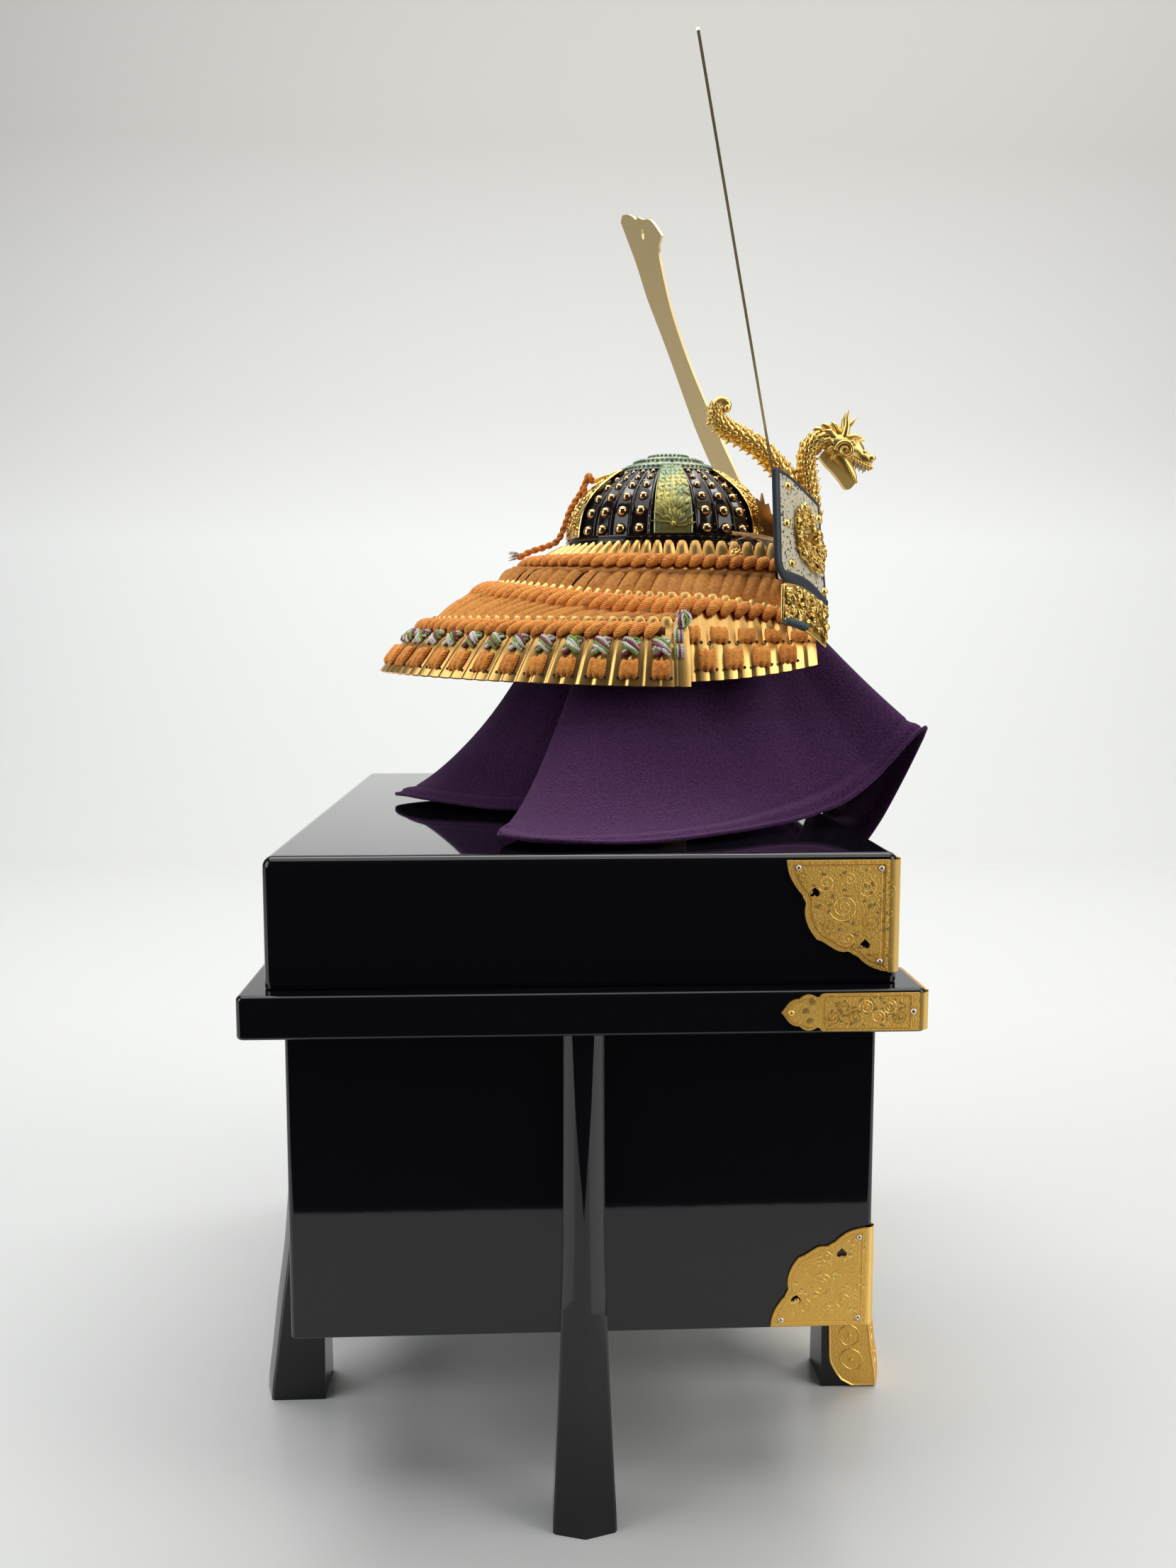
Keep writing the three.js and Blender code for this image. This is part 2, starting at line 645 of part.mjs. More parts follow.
// Body of revolution with welded seams, from a closed outline of radius and height
function revolve(outline, segments = 24) {
  const points = [];
  const triangles = [];
  const count = outline.length;
  for (let i = 0; i < segments; i += 1) {
    const angle = (i / segments) * 2 * Math.PI;
    for (const p of outline) {
      points.push(new THREE.Vector3(
        p.x * Math.cos(angle),
        BOWL_CENTRE + p.x * Math.sin(angle),
        p.y,
      ));
    }
  }
  for (let i = 0; i < segments; i += 1) {
    const next = (i + 1) % segments;
    for (let j = 0; j < count; j += 1) {
      const k = (j + 1) % count;
      const [a, b, c, d] = [i * count + j, next * count + j, next * count + k, i * count + k];
      triangles.push([a, b, c], [a, c, d]);
    }
  }
  return bodyFrom(points, triangles);
}

// Ribbed bowl: a standing rib on each seam between its plates
function bowlSurface(inward, ribbed) {
  const outline = bowlOutline(inward, BOWL_STEPS);
  return (u, v) => {
    const angle = u * 2 * Math.PI;
    const p = outline[Math.round(v * BOWL_STEPS)];
    const step = Math.round(u * PLATES * 2) % 2;
    const rib = ribbed && step === 0 ? RIB_HEIGHT * Math.min(1, p.x / 20) : 0;
    const r = p.x > 0 ? p.x + rib : 0;
    return new THREE.Vector3(r * Math.cos(angle), BOWL_CENTRE + r * Math.sin(angle), p.y);
  };
}
add('bowl', shell(
  bowlSurface(0, true), bowlSurface(BOWL_WALL, false), PLATES * 2, BOWL_STEPS, true,
), lacquer);

// Rim band round the foot of the bowl
const BAND_THICKNESS = 1.6;
const bandInner = BOWL_RADIUS + RIB_HEIGHT + FIT;
add('bowl_band', revolve([
  new THREE.Vector2(bandInner, BOWL_BASE - 3.4),
  new THREE.Vector2(bandInner + BAND_THICKNESS, BOWL_BASE - 3.4),
  new THREE.Vector2(bandInner + BAND_THICKNESS - 0.4, BOWL_BASE + 2.6),
  new THREE.Vector2(bandInner, BOWL_BASE + 2.8),
]), lacquer);

// Stepped crown ornament that follows the bowl underneath
const crownUnder = [24, 16, 8].map((r) => new THREE.Vector2(r, bowlHeight(r, -FIT - RIB_HEIGHT)));
const crownTop = bowlHeight(0, -FIT - RIB_HEIGHT);
add('crown_ornament', revolve([
  ...crownUnder,
  new THREE.Vector2(0, crownTop),
  new THREE.Vector2(0, BOWL_BASE + 45.4),
  new THREE.Vector2(9, BOWL_BASE + 45.2),
  new THREE.Vector2(10.5, BOWL_BASE + 43.6),
  new THREE.Vector2(17, BOWL_BASE + 42.4),
  new THREE.Vector2(18, BOWL_BASE + 40.2),
  new THREE.Vector2(23.5, BOWL_BASE + 38.8),
  new THREE.Vector2(24.6, BOWL_BASE + 36.6),
]), antique);

// Relief panels that lie on the bowl, each tapering towards the crown
const PANEL_RISE = 1.1;
function panel(bearing, halfWidth) {
  const sheet = (lift) => (u, v) => {
    const t = between(0.19, 0.755, v);
    const base = new THREE.Vector2(
      BOWL_RADIUS * smooth(BOWL, t, 'radius'),
      BOWL_HEIGHT * smooth(BOWL, t, 'height'),
    );
    const next = new THREE.Vector2(
      BOWL_RADIUS * smooth(BOWL, t + 0.02, 'radius'),
      BOWL_HEIGHT * smooth(BOWL, t + 0.02, 'height'),
    ).sub(base).normalize();
    const r = base.x + lift * next.y;
    const z = BOWL_BASE + base.y - lift * next.x;
    const half = halfWidth * between(1, 0.86, v);
    const angle = THREE.MathUtils.degToRad(bearing + half * (2 * u - 1));
    return new THREE.Vector3(r * Math.cos(angle), BOWL_CENTRE + r * Math.sin(angle), z);
  };
  const under = RIB_HEIGHT + 2 * FIT;
  return shell(sheet(under + PANEL_RISE), sheet(under), Math.round(3 + halfWidth / 8), 4);
}
add('panel_left', panel(177, 10.3), antique);
add('panel_right', panel(3, 10.3), antique);
add('panel_back', panel(90, 26), gold);
add('panel_front', panel(-90, 34), gold);

// Peak: a downward sloping crescent in front of the bowl
const PEAK_SPAN = 62;
const PEAK_REACH = 17;
function peakSheet(lift) {
  return (u, v) => {
    const turn = 2 * u - 1;
    const angle = THREE.MathUtils.degToRad(-90 + PEAK_SPAN * turn);
    const reach = PEAK_REACH * Math.pow(Math.max(0.02, Math.cos((turn * Math.PI) / 2)), 0.6);
    const r = bandInner + BAND_THICKNESS + FIT + reach * v;
    const z = BOWL_BASE + 0.5 - 5.5 * v * (reach / PEAK_REACH) + lift;
    return new THREE.Vector3(r * Math.cos(angle), BOWL_CENTRE + r * Math.sin(angle), z);
  };
}
add('peak', shell(peakSheet(1.2), peakSheet(0), 14, 2), satinGold);

// Crest plate that stands on the peak and holds horns and dragon
const crestY = BOWL_CENTRE - bandInner - 6.1;
const crestBase = BOWL_BASE + 0.4;
const CREST_THICKNESS = 2;
function crestPlate() {
  const shape = new THREE.Shape();
  shape.moveTo(-30, -0.6);
  shape.quadraticCurveTo(-27, 12, -22, 17);
  shape.quadraticCurveTo(-12, 15, -7, 22);
  shape.lineTo(7, 22);
  shape.quadraticCurveTo(12, 15, 22, 17);
  shape.quadraticCurveTo(27, 12, 30, -0.6);
  shape.quadraticCurveTo(0, 1.8, -30, -0.6);
  return new THREE.ExtrudeGeometry(shape, {
    depth: CREST_THICKNESS,
    bevelEnabled: false,
    curveSegments: 5,
  }).rotateX(Math.PI / 2).translate(0, crestY - HORN_THICKNESS / 2 - 2 * FIT, crestBase);
}
add('crest_plate', crestPlate(), gold);

// Tapered limb along a centreline in the plane X = across, pointed tables give its thickness
function limb(table, across, flatness, sides_ = 6, steps = 2) {
  const rings = [];
  const total = (table.length - 1) * steps;
  for (let i = 0; i <= total; i += 1) {
    const t = i / total;
    const at = (s) => new THREE.Vector2(smooth(table, s, 'front'), smooth(table, s, 'up'));
    const here = at(t);
    const along = at(Math.min(1, t + 0.01)).sub(at(Math.max(0, t - 0.01))).normalize();
    const half = smooth(table, t, 'half');
    const ring = [];
    for (let k = 0; k < sides_; k += 1) {
      const angle = (k / sides_) * 2 * Math.PI;
      const out = half * Math.cos(angle);
      ring.push(new THREE.Vector3(
        across + half * flatness * Math.sin(angle),
        BOWL_CENTRE + here.x - along.y * out,
        BOWL_BASE + here.y + along.x * out,
      ));
    }
    rings.push(ring);
  }
  return loft(rings);
}

// Pointed spike from a root towards a tip
function spike(root, tip, radius) {
  const axis = tip.clone().sub(root);
  const geometry = new THREE.ConeGeometry(radius, axis.length(), 4);
  const turn = new THREE.Quaternion().setFromUnitVectors(
    new THREE.Vector3(0, 1, 0),
    axis.clone().normalize(),
  );
  return geometry.applyQuaternion(turn).translate(
    root.x + axis.x / 2,
    root.y + axis.y / 2,
    root.z + axis.z / 2,
  );
}
const MANE = [
  { front: -80.5, up: 54, toFront: -76, toUp: 62.5, across: 0 },
  { front: -87, up: 54, toFront: -82.5, toUp: 65, across: 2.5 },
  { front: -87, up: 54, toFront: -82.5, toUp: 65, across: -2.5 },
  { front: -89, up: 54, toFront: -80.5, toUp: 57.5, across: 5 },
  { front: -89, up: 54, toFront: -80.5, toUp: 57.5, across: -5 },
  { front: -90, up: 48, toFront: -83, toUp: 45, across: 5 },
  { front: -90, up: 48, toFront: -83, toUp: 45, across: -5 },
];
const backSpikes = [];
for (let i = 1; i < 15; i += 1) {
  const t = i / 16.5;
  const at = (s) => new THREE.Vector2(
    smooth(DRAGON_TAIL, s, 'front'),
    smooth(DRAGON_TAIL, s, 'up'),
  );
  const along = at(t + 0.01).sub(at(t - 0.01)).normalize();
  const half = smooth(DRAGON_TAIL, t, 'half');
  const root = at(t);
  const tip = new THREE.Vector2(root.x - along.y * -1 * (half + 2), root.y - along.x * (half + 2));
  if (t > 0.2 && t < 0.72) {
    const up = new THREE.Vector2(root.x - (tip.x - root.x), root.y - (tip.y - root.y));
    backSpikes.push(spike(
      new THREE.Vector3(0, BOWL_CENTRE + root.x, BOWL_BASE + root.y),
      new THREE.Vector3(0, BOWL_CENTRE + up.x, BOWL_BASE + up.y),
      2.2,
    ));
  }
}
add('dragon', joined([
  limb(DRAGON_NECK, 0, 0.86),
  limb(DRAGON_TAIL, 0, 0.86),
  limb(DRAGON_SNOUT, 0, 0.95),
  limb(DRAGON_JAW, 0, 1.1),
  limb(DRAGON_HORN, 3.2, 1, 4, 1),
  limb(DRAGON_HORN, -3.2, 1, 4, 1),
  ...MANE.map((row) => spike(
    new THREE.Vector3(row.across * 0.7, BOWL_CENTRE + row.front, BOWL_BASE + row.up),
    new THREE.Vector3(row.across * 1.25, BOWL_CENTRE + row.toFront, BOWL_BASE + row.toUp),
    2.4,
  )),
  ...backSpikes,
]), gold);

// Tall flat horns, each cut from sheet in a plane that leans back and turns outwards
const HORN_TURN = { left: 11.7, right: 18.7 };
const HORN_LEAN = 10.4;
const HORN_ROOT = 14;
const HORN_HOLE = { out: 0.492, up: 0.932 };
function hornPlate(sx) {
  const shape = new THREE.Shape();
  const outline = [...HORN_OUTER, ...HORN_TIP, ...HORN_INNER];
  outline.forEach(({ out, up }, i) => {
    const move = i === 0 ? 'moveTo' : 'lineTo';
    shape[move](sx * out * HORN_LENGTH, up * HORN_LENGTH);
  });
  const plate = new THREE.ExtrudeGeometry(shape, { depth: HORN_THICKNESS, bevelEnabled: false })
    .translate(0, 0, -HORN_THICKNESS / 2);
  const hole = heart(5.2, 4 * HORN_THICKNESS).rotateZ(Math.PI)
    .translate(sx * HORN_HOLE.out * HORN_LENGTH, HORN_HOLE.up * HORN_LENGTH, 0);
  return cut(plate, hole).rotateX(Math.PI / 2);
}
for (const { side, sx } of sides) {
  const horn = add(`horn_${side}`, hornPlate(sx), satinGold);
  horn.rotation.order = 'ZXY';
  horn.rotation.z = THREE.MathUtils.degToRad(sx * HORN_TURN[side]);
  horn.rotation.x = THREE.MathUtils.degToRad(-HORN_LEAN);
  horn.position.set(sx * HORN_ROOT, crestY, crestBase + 1.6);
}

// Neck guard: place in plan for a bearing share q (-1 near front, 0 back, 1 far front)
const BACK_POWER = 1.183;
const FRONT_SHARE = 0.22;
function guardPoint(tier, q, row) {
  const share = Math.abs(q);
  const sx = q < 0 ? -1 : 1;
  const turnEnd = 1 - (tier.front > 20 ? FRONT_SHARE : 0.03);
  const t = Math.min(1, share / turnEnd);
  const angle = (t * Math.PI) / 2;
  const past = Math.max(0, (share - turnEnd) / (1 - turnEnd));
  const x = row.side * Math.pow(Math.sin(angle), BACK_POWER) * (1 - tier.narrow * past * past);
  const y = GUARD_CENTRE + row.back * Math.pow(Math.max(0, Math.cos(angle)), BACK_POWER)
    - tier.front * past;
  const rise = Math.pow(Math.sin(angle), 2);
  const z = BOWL_BASE + between(row.high, row.low, rise) + row.ahead * past * past;
  return new THREE.Vector3(sx * x, y, z);
}

// Surface of a tier, q along it and v up it, moved out by a lift along its normal
function guardSurface(tier, q, v, lift) {
  const mix = (place) => {
    const t = THREE.MathUtils.clamp(place, 0, 1);
    const row = {};
    for (const key of ['side', 'back', 'low', 'high', 'ahead']) row[key] = smooth(tier.rows, t, key);
    return row;
  };
  const here = guardPoint(tier, q, mix(v));
  if (lift === 0) return here;
  const step = 0.004;
  const along = guardPoint(tier, Math.min(1, q + step), mix(v))
    .sub(guardPoint(tier, Math.max(-1, q - step), mix(v)));
  const up = guardPoint(tier, q, mix(Math.min(1, v + step)))
    .sub(guardPoint(tier, q, mix(Math.max(0, v - step))));
  const normal = along.cross(up).normalize();
  const outward = new THREE.Vector3(here.x, here.y - GUARD_CENTRE, 0);
  if (normal.dot(outward) < 0) normal.negate();
  return here.addScaledVector(normal, lift);
}

// Strip on a tier from q0 to q1 and v0 to v1, bulging in the middle if asked
function guardStrip(tier, span, rise, from, thick, steps, plies, bulge = false) {
  const rows = bulge ? 2 : plies;
  const sheet = (outer) => (u, v) => {
    const crown = bulge ? Math.sqrt(Math.max(0.12, Math.sin(v * Math.PI))) : 1;
    const lift = outer ? from + thick * crown : from;
    return guardSurface(tier, between(span[0], span[1], u), between(rise[0], rise[1], v), lift);
  };
  return shell(sheet(true), sheet(false), steps, rows);
}
const tiers = [
  { name: 'guard_tier_1', tier: TIER_1, steps: 28 },
  { name: 'guard_tier_2', tier: TIER_2, steps: 28 },
  { name: 'guard_tier_3', tier: TIER_3, steps: 28 },
];
for (const { name, tier, steps } of tiers) {
  add(name, guardStrip(
    tier, [-1, 1], [0, 1], -SCALE_THICKNESS, SCALE_THICKNESS, steps, tier.rows.length - 1,
  ), gold);
}

// Braids and lacing that lie on the tiers
const laceGap = FIT;
const braids = [
  { name: 'braid_1', tier: TIER_1, span: [-0.97, 0.97], rise: [0.30, 0.62] },
  { name: 'braid_2', tier: TIER_2, span: [-0.97, 0.97], rise: [0.81, 0.94] },
  { name: 'braid_3', tier: TIER_3, span: [-0.94, 0.94], rise: [0.68, 0.88] },
];
for (const { name, tier, span, rise } of braids) {
  add(name, guardStrip(tier, span, rise, 1.5 * laceGap, BRAID_THICKNESS, 28, 2, true), orange);
}
const bands = [
  { name: 'knot_band', tier: TIER_3, span: [-0.99, 0.99], rise: [0.36, 0.62], look: braidMix },
  { name: 'lace_band', tier: TIER_3, span: [-0.99, 0.99], rise: [0.09, 0.32], look: orange },
  { name: 'front_lace_upper_left', tier: TIER_2, span: [-0.99, -0.80], rise: [0.42, 0.59], look: orange },
  { name: 'front_lace_upper_right', tier: TIER_2, span: [0.80, 0.99], rise: [0.42, 0.59], look: orange },
  { name: 'front_lace_lower_left', tier: TIER_2, span: [-0.99, -0.80], rise: [0.10, 0.32], look: orange },
  { name: 'front_lace_lower_right', tier: TIER_2, span: [0.80, 0.99], rise: [0.10, 0.32], look: orange },
];
for (const { name, tier, span, rise, look: paint } of bands) {
  const steps = name.startsWith('front') ? 5 : 28;
  add(name, guardStrip(tier, span, rise, laceGap, LACE_THICKNESS, steps, 1), paint);
}

// Lacing between two tiers: from the upper tier's face down to the lower tier's top edge
function lacing(upper, lower, fromRise, overRise, reach) {
  const sheet = (thick) => (u, v) => {
    const q = between(-reach, reach, u);
    if (v < 0.75) {
      return guardSurface(upper, q, between(fromRise, overRise, 2 * v), laceGap + thick);
    }
    const foot = guardSurface(lower, 0.97 * (q / reach), 1, 0);
    const away = new THREE.Vector3(foot.x, foot.y - GUARD_CENTRE, 0).normalize();
    foot.z += FIT + 0.4 + 0.6 * thick;
    return foot.addScaledVector(away, 0.6 * thick - 0.9);
  };
  return shell(sheet(LACE_THICKNESS), sheet(0), 28, 2);
}
add('lacing_1', lacing(TIER_1, TIER_2, 0.22, 0, 0.97), orange);
add('lacing_2', lacing(TIER_2, TIER_3, 0.8, 0.77, 0.8), orange);

// Turn-backs: plates folded out and back from the front ends of the upper tiers
const TURNBACK_UPPER = [
  { out: -54.2, back: -67.5, top: 14, bottom: -37, lean: 5 },
  { out: -66, back: -57, top: 20.5, bottom: -28.3, lean: 4 },
  { out: -76, back: -48, top: 25.5, bottom: -25, lean: 3 },
  { out: -84, back: -40.5, top: 27.5, bottom: -23.5, lean: 2 },
];
const TURNBACK_LOWER = [
  { out: -72.5, back: -68.5, top: -40, bottom: -55.5, lean: 0 },
  { out: -81.5, back: -59, top: -33.5, bottom: -49, lean: 0 },
  { out: -90, back: -50.5, top: -29, bottom: -45.5, lean: 0 },
  { out: -97, back: -43, top: -27.5, bottom: -44, lean: 0 },
];
function turnback(table, sx, lift, thick, share = [0, 1], height = [0, 1]) {
  const at = (u, v, push) => {
    const t = between(share[0], share[1], u);
    const x = smooth(table, t, 'out');
    const rise = between(height[0], height[1], v);
    const y = smooth(table, t, 'back') - smooth(table, t, 'lean') * (1 - rise);
    const z = between(smooth(table, t, 'bottom'), smooth(table, t, 'top'), rise);
    const ahead = new THREE.Vector2(
      smooth(table, Math.min(1, t + 0.02), 'out') - smooth(table, Math.max(0, t - 0.02), 'out'),
      smooth(table, Math.min(1, t + 0.02), 'back') - smooth(table, Math.max(0, t - 0.02), 'back'),
    ).normalize();
    return new THREE.Vector3(
      -sx * (x - ahead.y * push),
      BOWL_CENTRE + y + ahead.x * push,
      BOWL_BASE + z,
    );
  };
  return shell(
    (u, v) => at(u, v, lift + thick),
    (u, v) => at(u, v, lift),
    5,
    2,
  );
}
for (const { side, sx } of sides) {
  add(`turnback_upper_${side}`, turnback(TURNBACK_UPPER, sx, 0, TURNBACK_THICKNESS), leatherWhite);
  add(`turnback_lower_${side}`, turnback(TURNBACK_LOWER, sx, 0, TURNBACK_THICKNESS), gold);
  add(`turnback_plaque_${side}`, turnback(
    TURNBACK_UPPER, sx, TURNBACK_THICKNESS + FIT, 1.4, [0.1, 0.62], [0.36, 0.82],
  ), gold);
}

// Post that carries the helmet, standing on the lid under the cloth
const ceiling = (r) => bowlHeight(r, BOWL_WALL, BOWL_STEPS) - FIT;
const CAP_STEPS = 2;
const capStep = CLOTH_NECK / CAP_STEPS;
function capHeight(r) {
  const k = Math.min(CAP_STEPS - 1, Math.floor(r / capStep));
  return between(ceiling(k * capStep), ceiling((k + 1) * capStep), r / capStep - k);
}
function postHead(r) {
  const slope = (capHeight(r) - capHeight(Math.max(0, r - capStep))) / capStep;
  return new THREE.Vector2(r, capHeight(r) - 1.4 * FIT - CLOTH_THICKNESS * Math.hypot(1, slope));
}
const postFoot = lidTop + FIT;
add('display_post', revolve([
  ...[0, capStep, CLOTH_NECK - 3].map(postHead),
  new THREE.Vector2(26, postHead(CLOTH_NECK - 3).y - 5),
  new THREE.Vector2(13, postHead(CLOTH_NECK - 3).y - 26),
  new THREE.Vector2(11, postFoot + 20),
  new THREE.Vector2(16, postFoot + 12),
  new THREE.Vector2(48, postFoot + 8),
  new THREE.Vector2(50, postFoot),
  new THREE.Vector2(0, postFoot),
], 16), timber);

// Cloth: a cap under the bowl, then a fall to the hem on each bearing
function hemAt(bearing, column) {
  const rows = HEM;
  const count = rows.length;
  let k = rows.findIndex((row) => row.bearing > bearing) - 1;
  if (k < 0) k = count - 1;
  const value = (i) => rows[(i + count) % count][column];
  const start = rows[k].bearing;
  const end = rows[(k + 1) % count].bearing + (k === count - 1 ? 360 : 0);
  const place_ = bearing < start ? bearing + 360 : bearing;
  const s = (place_ - start) / (end - start);
  const soft = s * s * (3 - 2 * s);
  return between(value(k), value(k + 1), soft);
}
const FALL_STEPS = 5;
const clothBearings = HEM.flatMap((row, i) => {
  const next = HEM[(i + 1) % HEM.length].bearing + (i === HEM.length - 1 ? 360 : 0);
  const parts = next - row.bearing > 10.5 ? 2 : 1;
  return parts === 2 ? [row.bearing, (row.bearing + next) / 2] : [row.bearing];
});
function clothPoint(bearing, step) {
  const fall = Math.max(0, (step - CAP_STEPS - 1) / FALL_STEPS);
  const angle = THREE.MathUtils.degToRad(bearing + hemAt(bearing, 'swing') * (1 - fall));
  let r;
  let z;
  if (step <= CAP_STEPS) {
    r = (CLOTH_NECK * step) / CAP_STEPS;
    z = ceiling(r);
  } else if (step <= CAP_STEPS + 1) {
    r = between(CLOTH_NECK, CLOTH_THROAT, step - CAP_STEPS);
    z = between(ceiling(CLOTH_NECK), BOWL_BASE - 4, step - CAP_STEPS);
  } else {
    const q = fall;
    const reach = hemAt(bearing, 'reach');
    const hemZ = lidTop + FIT + CLOTH_THICKNESS + 0.4 + hemAt(bearing, 'lift');
    r = between(CLOTH_THROAT, reach, q);
    z = between(hemZ, BOWL_BASE - 4, Math.pow(1 - q, hemAt(bearing, 'bend')));
  }
  return new THREE.Vector3(r * Math.cos(angle), BOWL_CENTRE + r * Math.sin(angle), z);
}
function clothSurface(depth) {
  const steps = CAP_STEPS + 1 + FALL_STEPS;
  return (u, v) => {
    const bearing = clothBearings[Math.round(u * clothBearings.length) % clothBearings.length];
    const step = v * steps;
    const here = clothPoint(bearing, step);
    if (depth === 0) return here;
    if (step < 0.5) return here.add(new THREE.Vector3(0, 0, -depth));
    const ahead = clothPoint(bearing, Math.min(steps, step + 0.3));
    const behind = clothPoint(bearing, step - 0.3);
    const along = clothPoint((bearing + 1.5) % 360, step).sub(clothPoint((bearing + 358.5) % 360, step));
    const normal = along.cross(ahead.sub(behind)).normalize();
    if (normal.z > 0) normal.negate();
    return here.addScaledVector(normal, depth);
  };
}
add('drape_cloth', shell(
  clothSurface(0), clothSurface(CLOTH_THICKNESS), clothBearings.length,
  CAP_STEPS + 1 + FALL_STEPS, true,
), purple);

// Ring on the upper back of the bowl, which the back cord loops through
const RING_RADIUS = 6;
const RING_WIRE = 0.8;
const ringFoot = new THREE.Vector3(0, BOWL_CENTRE + 27, bowlHeight(27, -1.1 - FIT - RIB_HEIGHT) - 0.6);
const ring = add('back_ring', new THREE.TorusGeometry(RING_RADIUS, RING_WIRE, 5, 14)
  .scale(0.8, 1, 1), gold);
ring.position.copy(ringFoot).add(new THREE.Vector3(0, RING_RADIUS, RING_WIRE));
ring.rotation.x = THREE.MathUtils.degToRad(-12);

// Cord from the ring down the back of the bowl and out over the neck guard
const CORD_RADIUS = 1.7;
const CORD_ROUTE = [
  { back: 42.8, up: 33.5 },
  { back: 46.4, up: 26 },
  { back: 52, up: 17 },
  { back: 55.6, up: 7 },
  { back: 59.2, up: 0.4 },
  { back: 66, up: -2.8 },
  { back: 73, up: -5 },
  { back: 80, up: -8.4 },
];
const route = new THREE.CatmullRomCurve3(
  CORD_ROUTE.map(({ back, up }) => new THREE.Vector3(0, BOWL_CENTRE + back, BOWL_BASE + up)),
);
const cordSection = new THREE.Shape();
for (let i = 0; i < 6; i += 1) {
  const angle = (i / 6) * 2 * Math.PI;
  const move = i === 0 ? 'moveTo' : 'lineTo';
  cordSection[move](CORD_RADIUS * Math.cos(angle), CORD_RADIUS * Math.sin(angle));
}
add('back_cord', new THREE.ExtrudeGeometry(cordSection, {
  steps: 14,
  extrudePath: route,
  bevelEnabled: false,
}), orange);

// Mixed-colour knots on the front upper corners of the lowest tier
for (const { side, sx } of sides) {
  const knot = add(`corner_knot_${side}`, new THREE.SphereGeometry(1, 8, 6)
    .rotateX(Math.PI / 2).scale(2.4, 3, 6.5), braidMix);
  knot.position.copy(guardSurface(TIER_3, sx * 0.98, 0.93, 0))
    .add(new THREE.Vector3(sx * 2.8, -1.6, 1));
  knot.rotation.y = THREE.MathUtils.degToRad(-sx * 22);
}

part.position.set(0, 0, 0);
part.updateMatrixWorld(true);
const extent = new THREE.Box3().setFromObject(part, true);
part.position.set(0, -(extent.min.y + extent.max.y) / 2, -extent.min.z);

export default part;
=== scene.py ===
# Kabuto display helmet on its draped post and lacquered chest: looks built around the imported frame.
# Sizes are in millimetres from the chest's centre on the floor and go to metres when a mesh is made.
import random
from math import cos, degrees, exp, hypot, pi, radians, sin

import bmesh
import bpy
from mathutils import Matrix, Vector, noise


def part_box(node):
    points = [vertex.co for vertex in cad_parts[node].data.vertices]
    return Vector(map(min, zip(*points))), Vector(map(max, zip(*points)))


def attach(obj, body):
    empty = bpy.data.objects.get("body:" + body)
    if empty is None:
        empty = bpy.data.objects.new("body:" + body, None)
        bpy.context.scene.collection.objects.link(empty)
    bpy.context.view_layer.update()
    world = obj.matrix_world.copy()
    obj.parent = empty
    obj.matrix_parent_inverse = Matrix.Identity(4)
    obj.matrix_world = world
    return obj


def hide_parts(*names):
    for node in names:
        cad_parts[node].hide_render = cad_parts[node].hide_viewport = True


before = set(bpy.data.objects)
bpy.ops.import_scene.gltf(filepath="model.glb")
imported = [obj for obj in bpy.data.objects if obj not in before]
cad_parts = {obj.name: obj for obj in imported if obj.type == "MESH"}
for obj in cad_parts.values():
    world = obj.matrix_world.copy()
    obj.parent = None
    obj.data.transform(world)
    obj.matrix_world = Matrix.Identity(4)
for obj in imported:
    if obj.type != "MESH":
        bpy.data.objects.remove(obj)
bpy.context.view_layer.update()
lidLow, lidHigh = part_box("chest_lid")
shiftY = (lidLow.y + lidHigh.y) / 2
scene = bpy.context.scene
scene.view_settings.view_transform = "Standard"


# Small helpers
def mix(a, b, t):
    return a + (b - a) * t


def clamp(t, low=0.0, high=1.0):
    return max(low, min(high, t))


def toMetres(p):
    return Vector((p[0] * 0.001, p[1] * 0.001 + shiftY, p[2] * 0.001))


def makeTable(columns, *rows):
    return [dict(zip(columns.split(), row)) for row in rows]


def smooth(rows, t, key):
    # Catmull-Rom value of one column with t running over the whole table
    at = clamp(t) * (len(rows) - 1)
    k = min(int(at), len(rows) - 2)
    a, b, c, d = (rows[min(max(i, 0), len(rows) - 1)][key] for i in (k - 1, k, k + 1, k + 2))
    s = at - k
    return 0.5 * (2 * b + (c - a) * s + (2 * a - 5 * b + 4 * c - d) * s * s
                  + (3 * b - a - 3 * c + d) * s ** 3)


def steady(rows, place, key, value, period=0):
    # Cubic through a table without overshoot, looked up by the key column
    xs = [r[key] for r in rows]
    ys = [r[value] for r in rows]
    if period:
        xs = [xs[-2] - period, xs[-1] - period] + xs + [xs[0] + period, xs[1] + period]
        ys = [ys[-2], ys[-1]] + ys + [ys[0], ys[1]]
        place = (place - xs[2]) % period + xs[2]
    k = 0
    while k < len(xs) - 2 and place > xs[k + 1]:
        k += 1

    def slope(i):
        if i <= 0 or i >= len(xs) - 1:
            return 0.0
        a = (ys[i] - ys[i - 1]) / (xs[i] - xs[i - 1])
        b = (ys[i + 1] - ys[i]) / (xs[i + 1] - xs[i])
        return 0.0 if a * b <= 0 else 2 * a * b / (a + b)

    h = xs[k + 1] - xs[k]
    s = clamp((place - xs[k]) / h)
    return ((2 * s ** 3 - 3 * s * s + 1) * ys[k] + (s ** 3 - 2 * s * s + s) * h * slope(k)
            + (3 * s * s - 2 * s ** 3) * ys[k + 1] + (s ** 3 - s * s) * h * slope(k + 1))


def newBag():
    return {"points": [], "faces": [], "uvs": [], "looks": [], "tints": []}


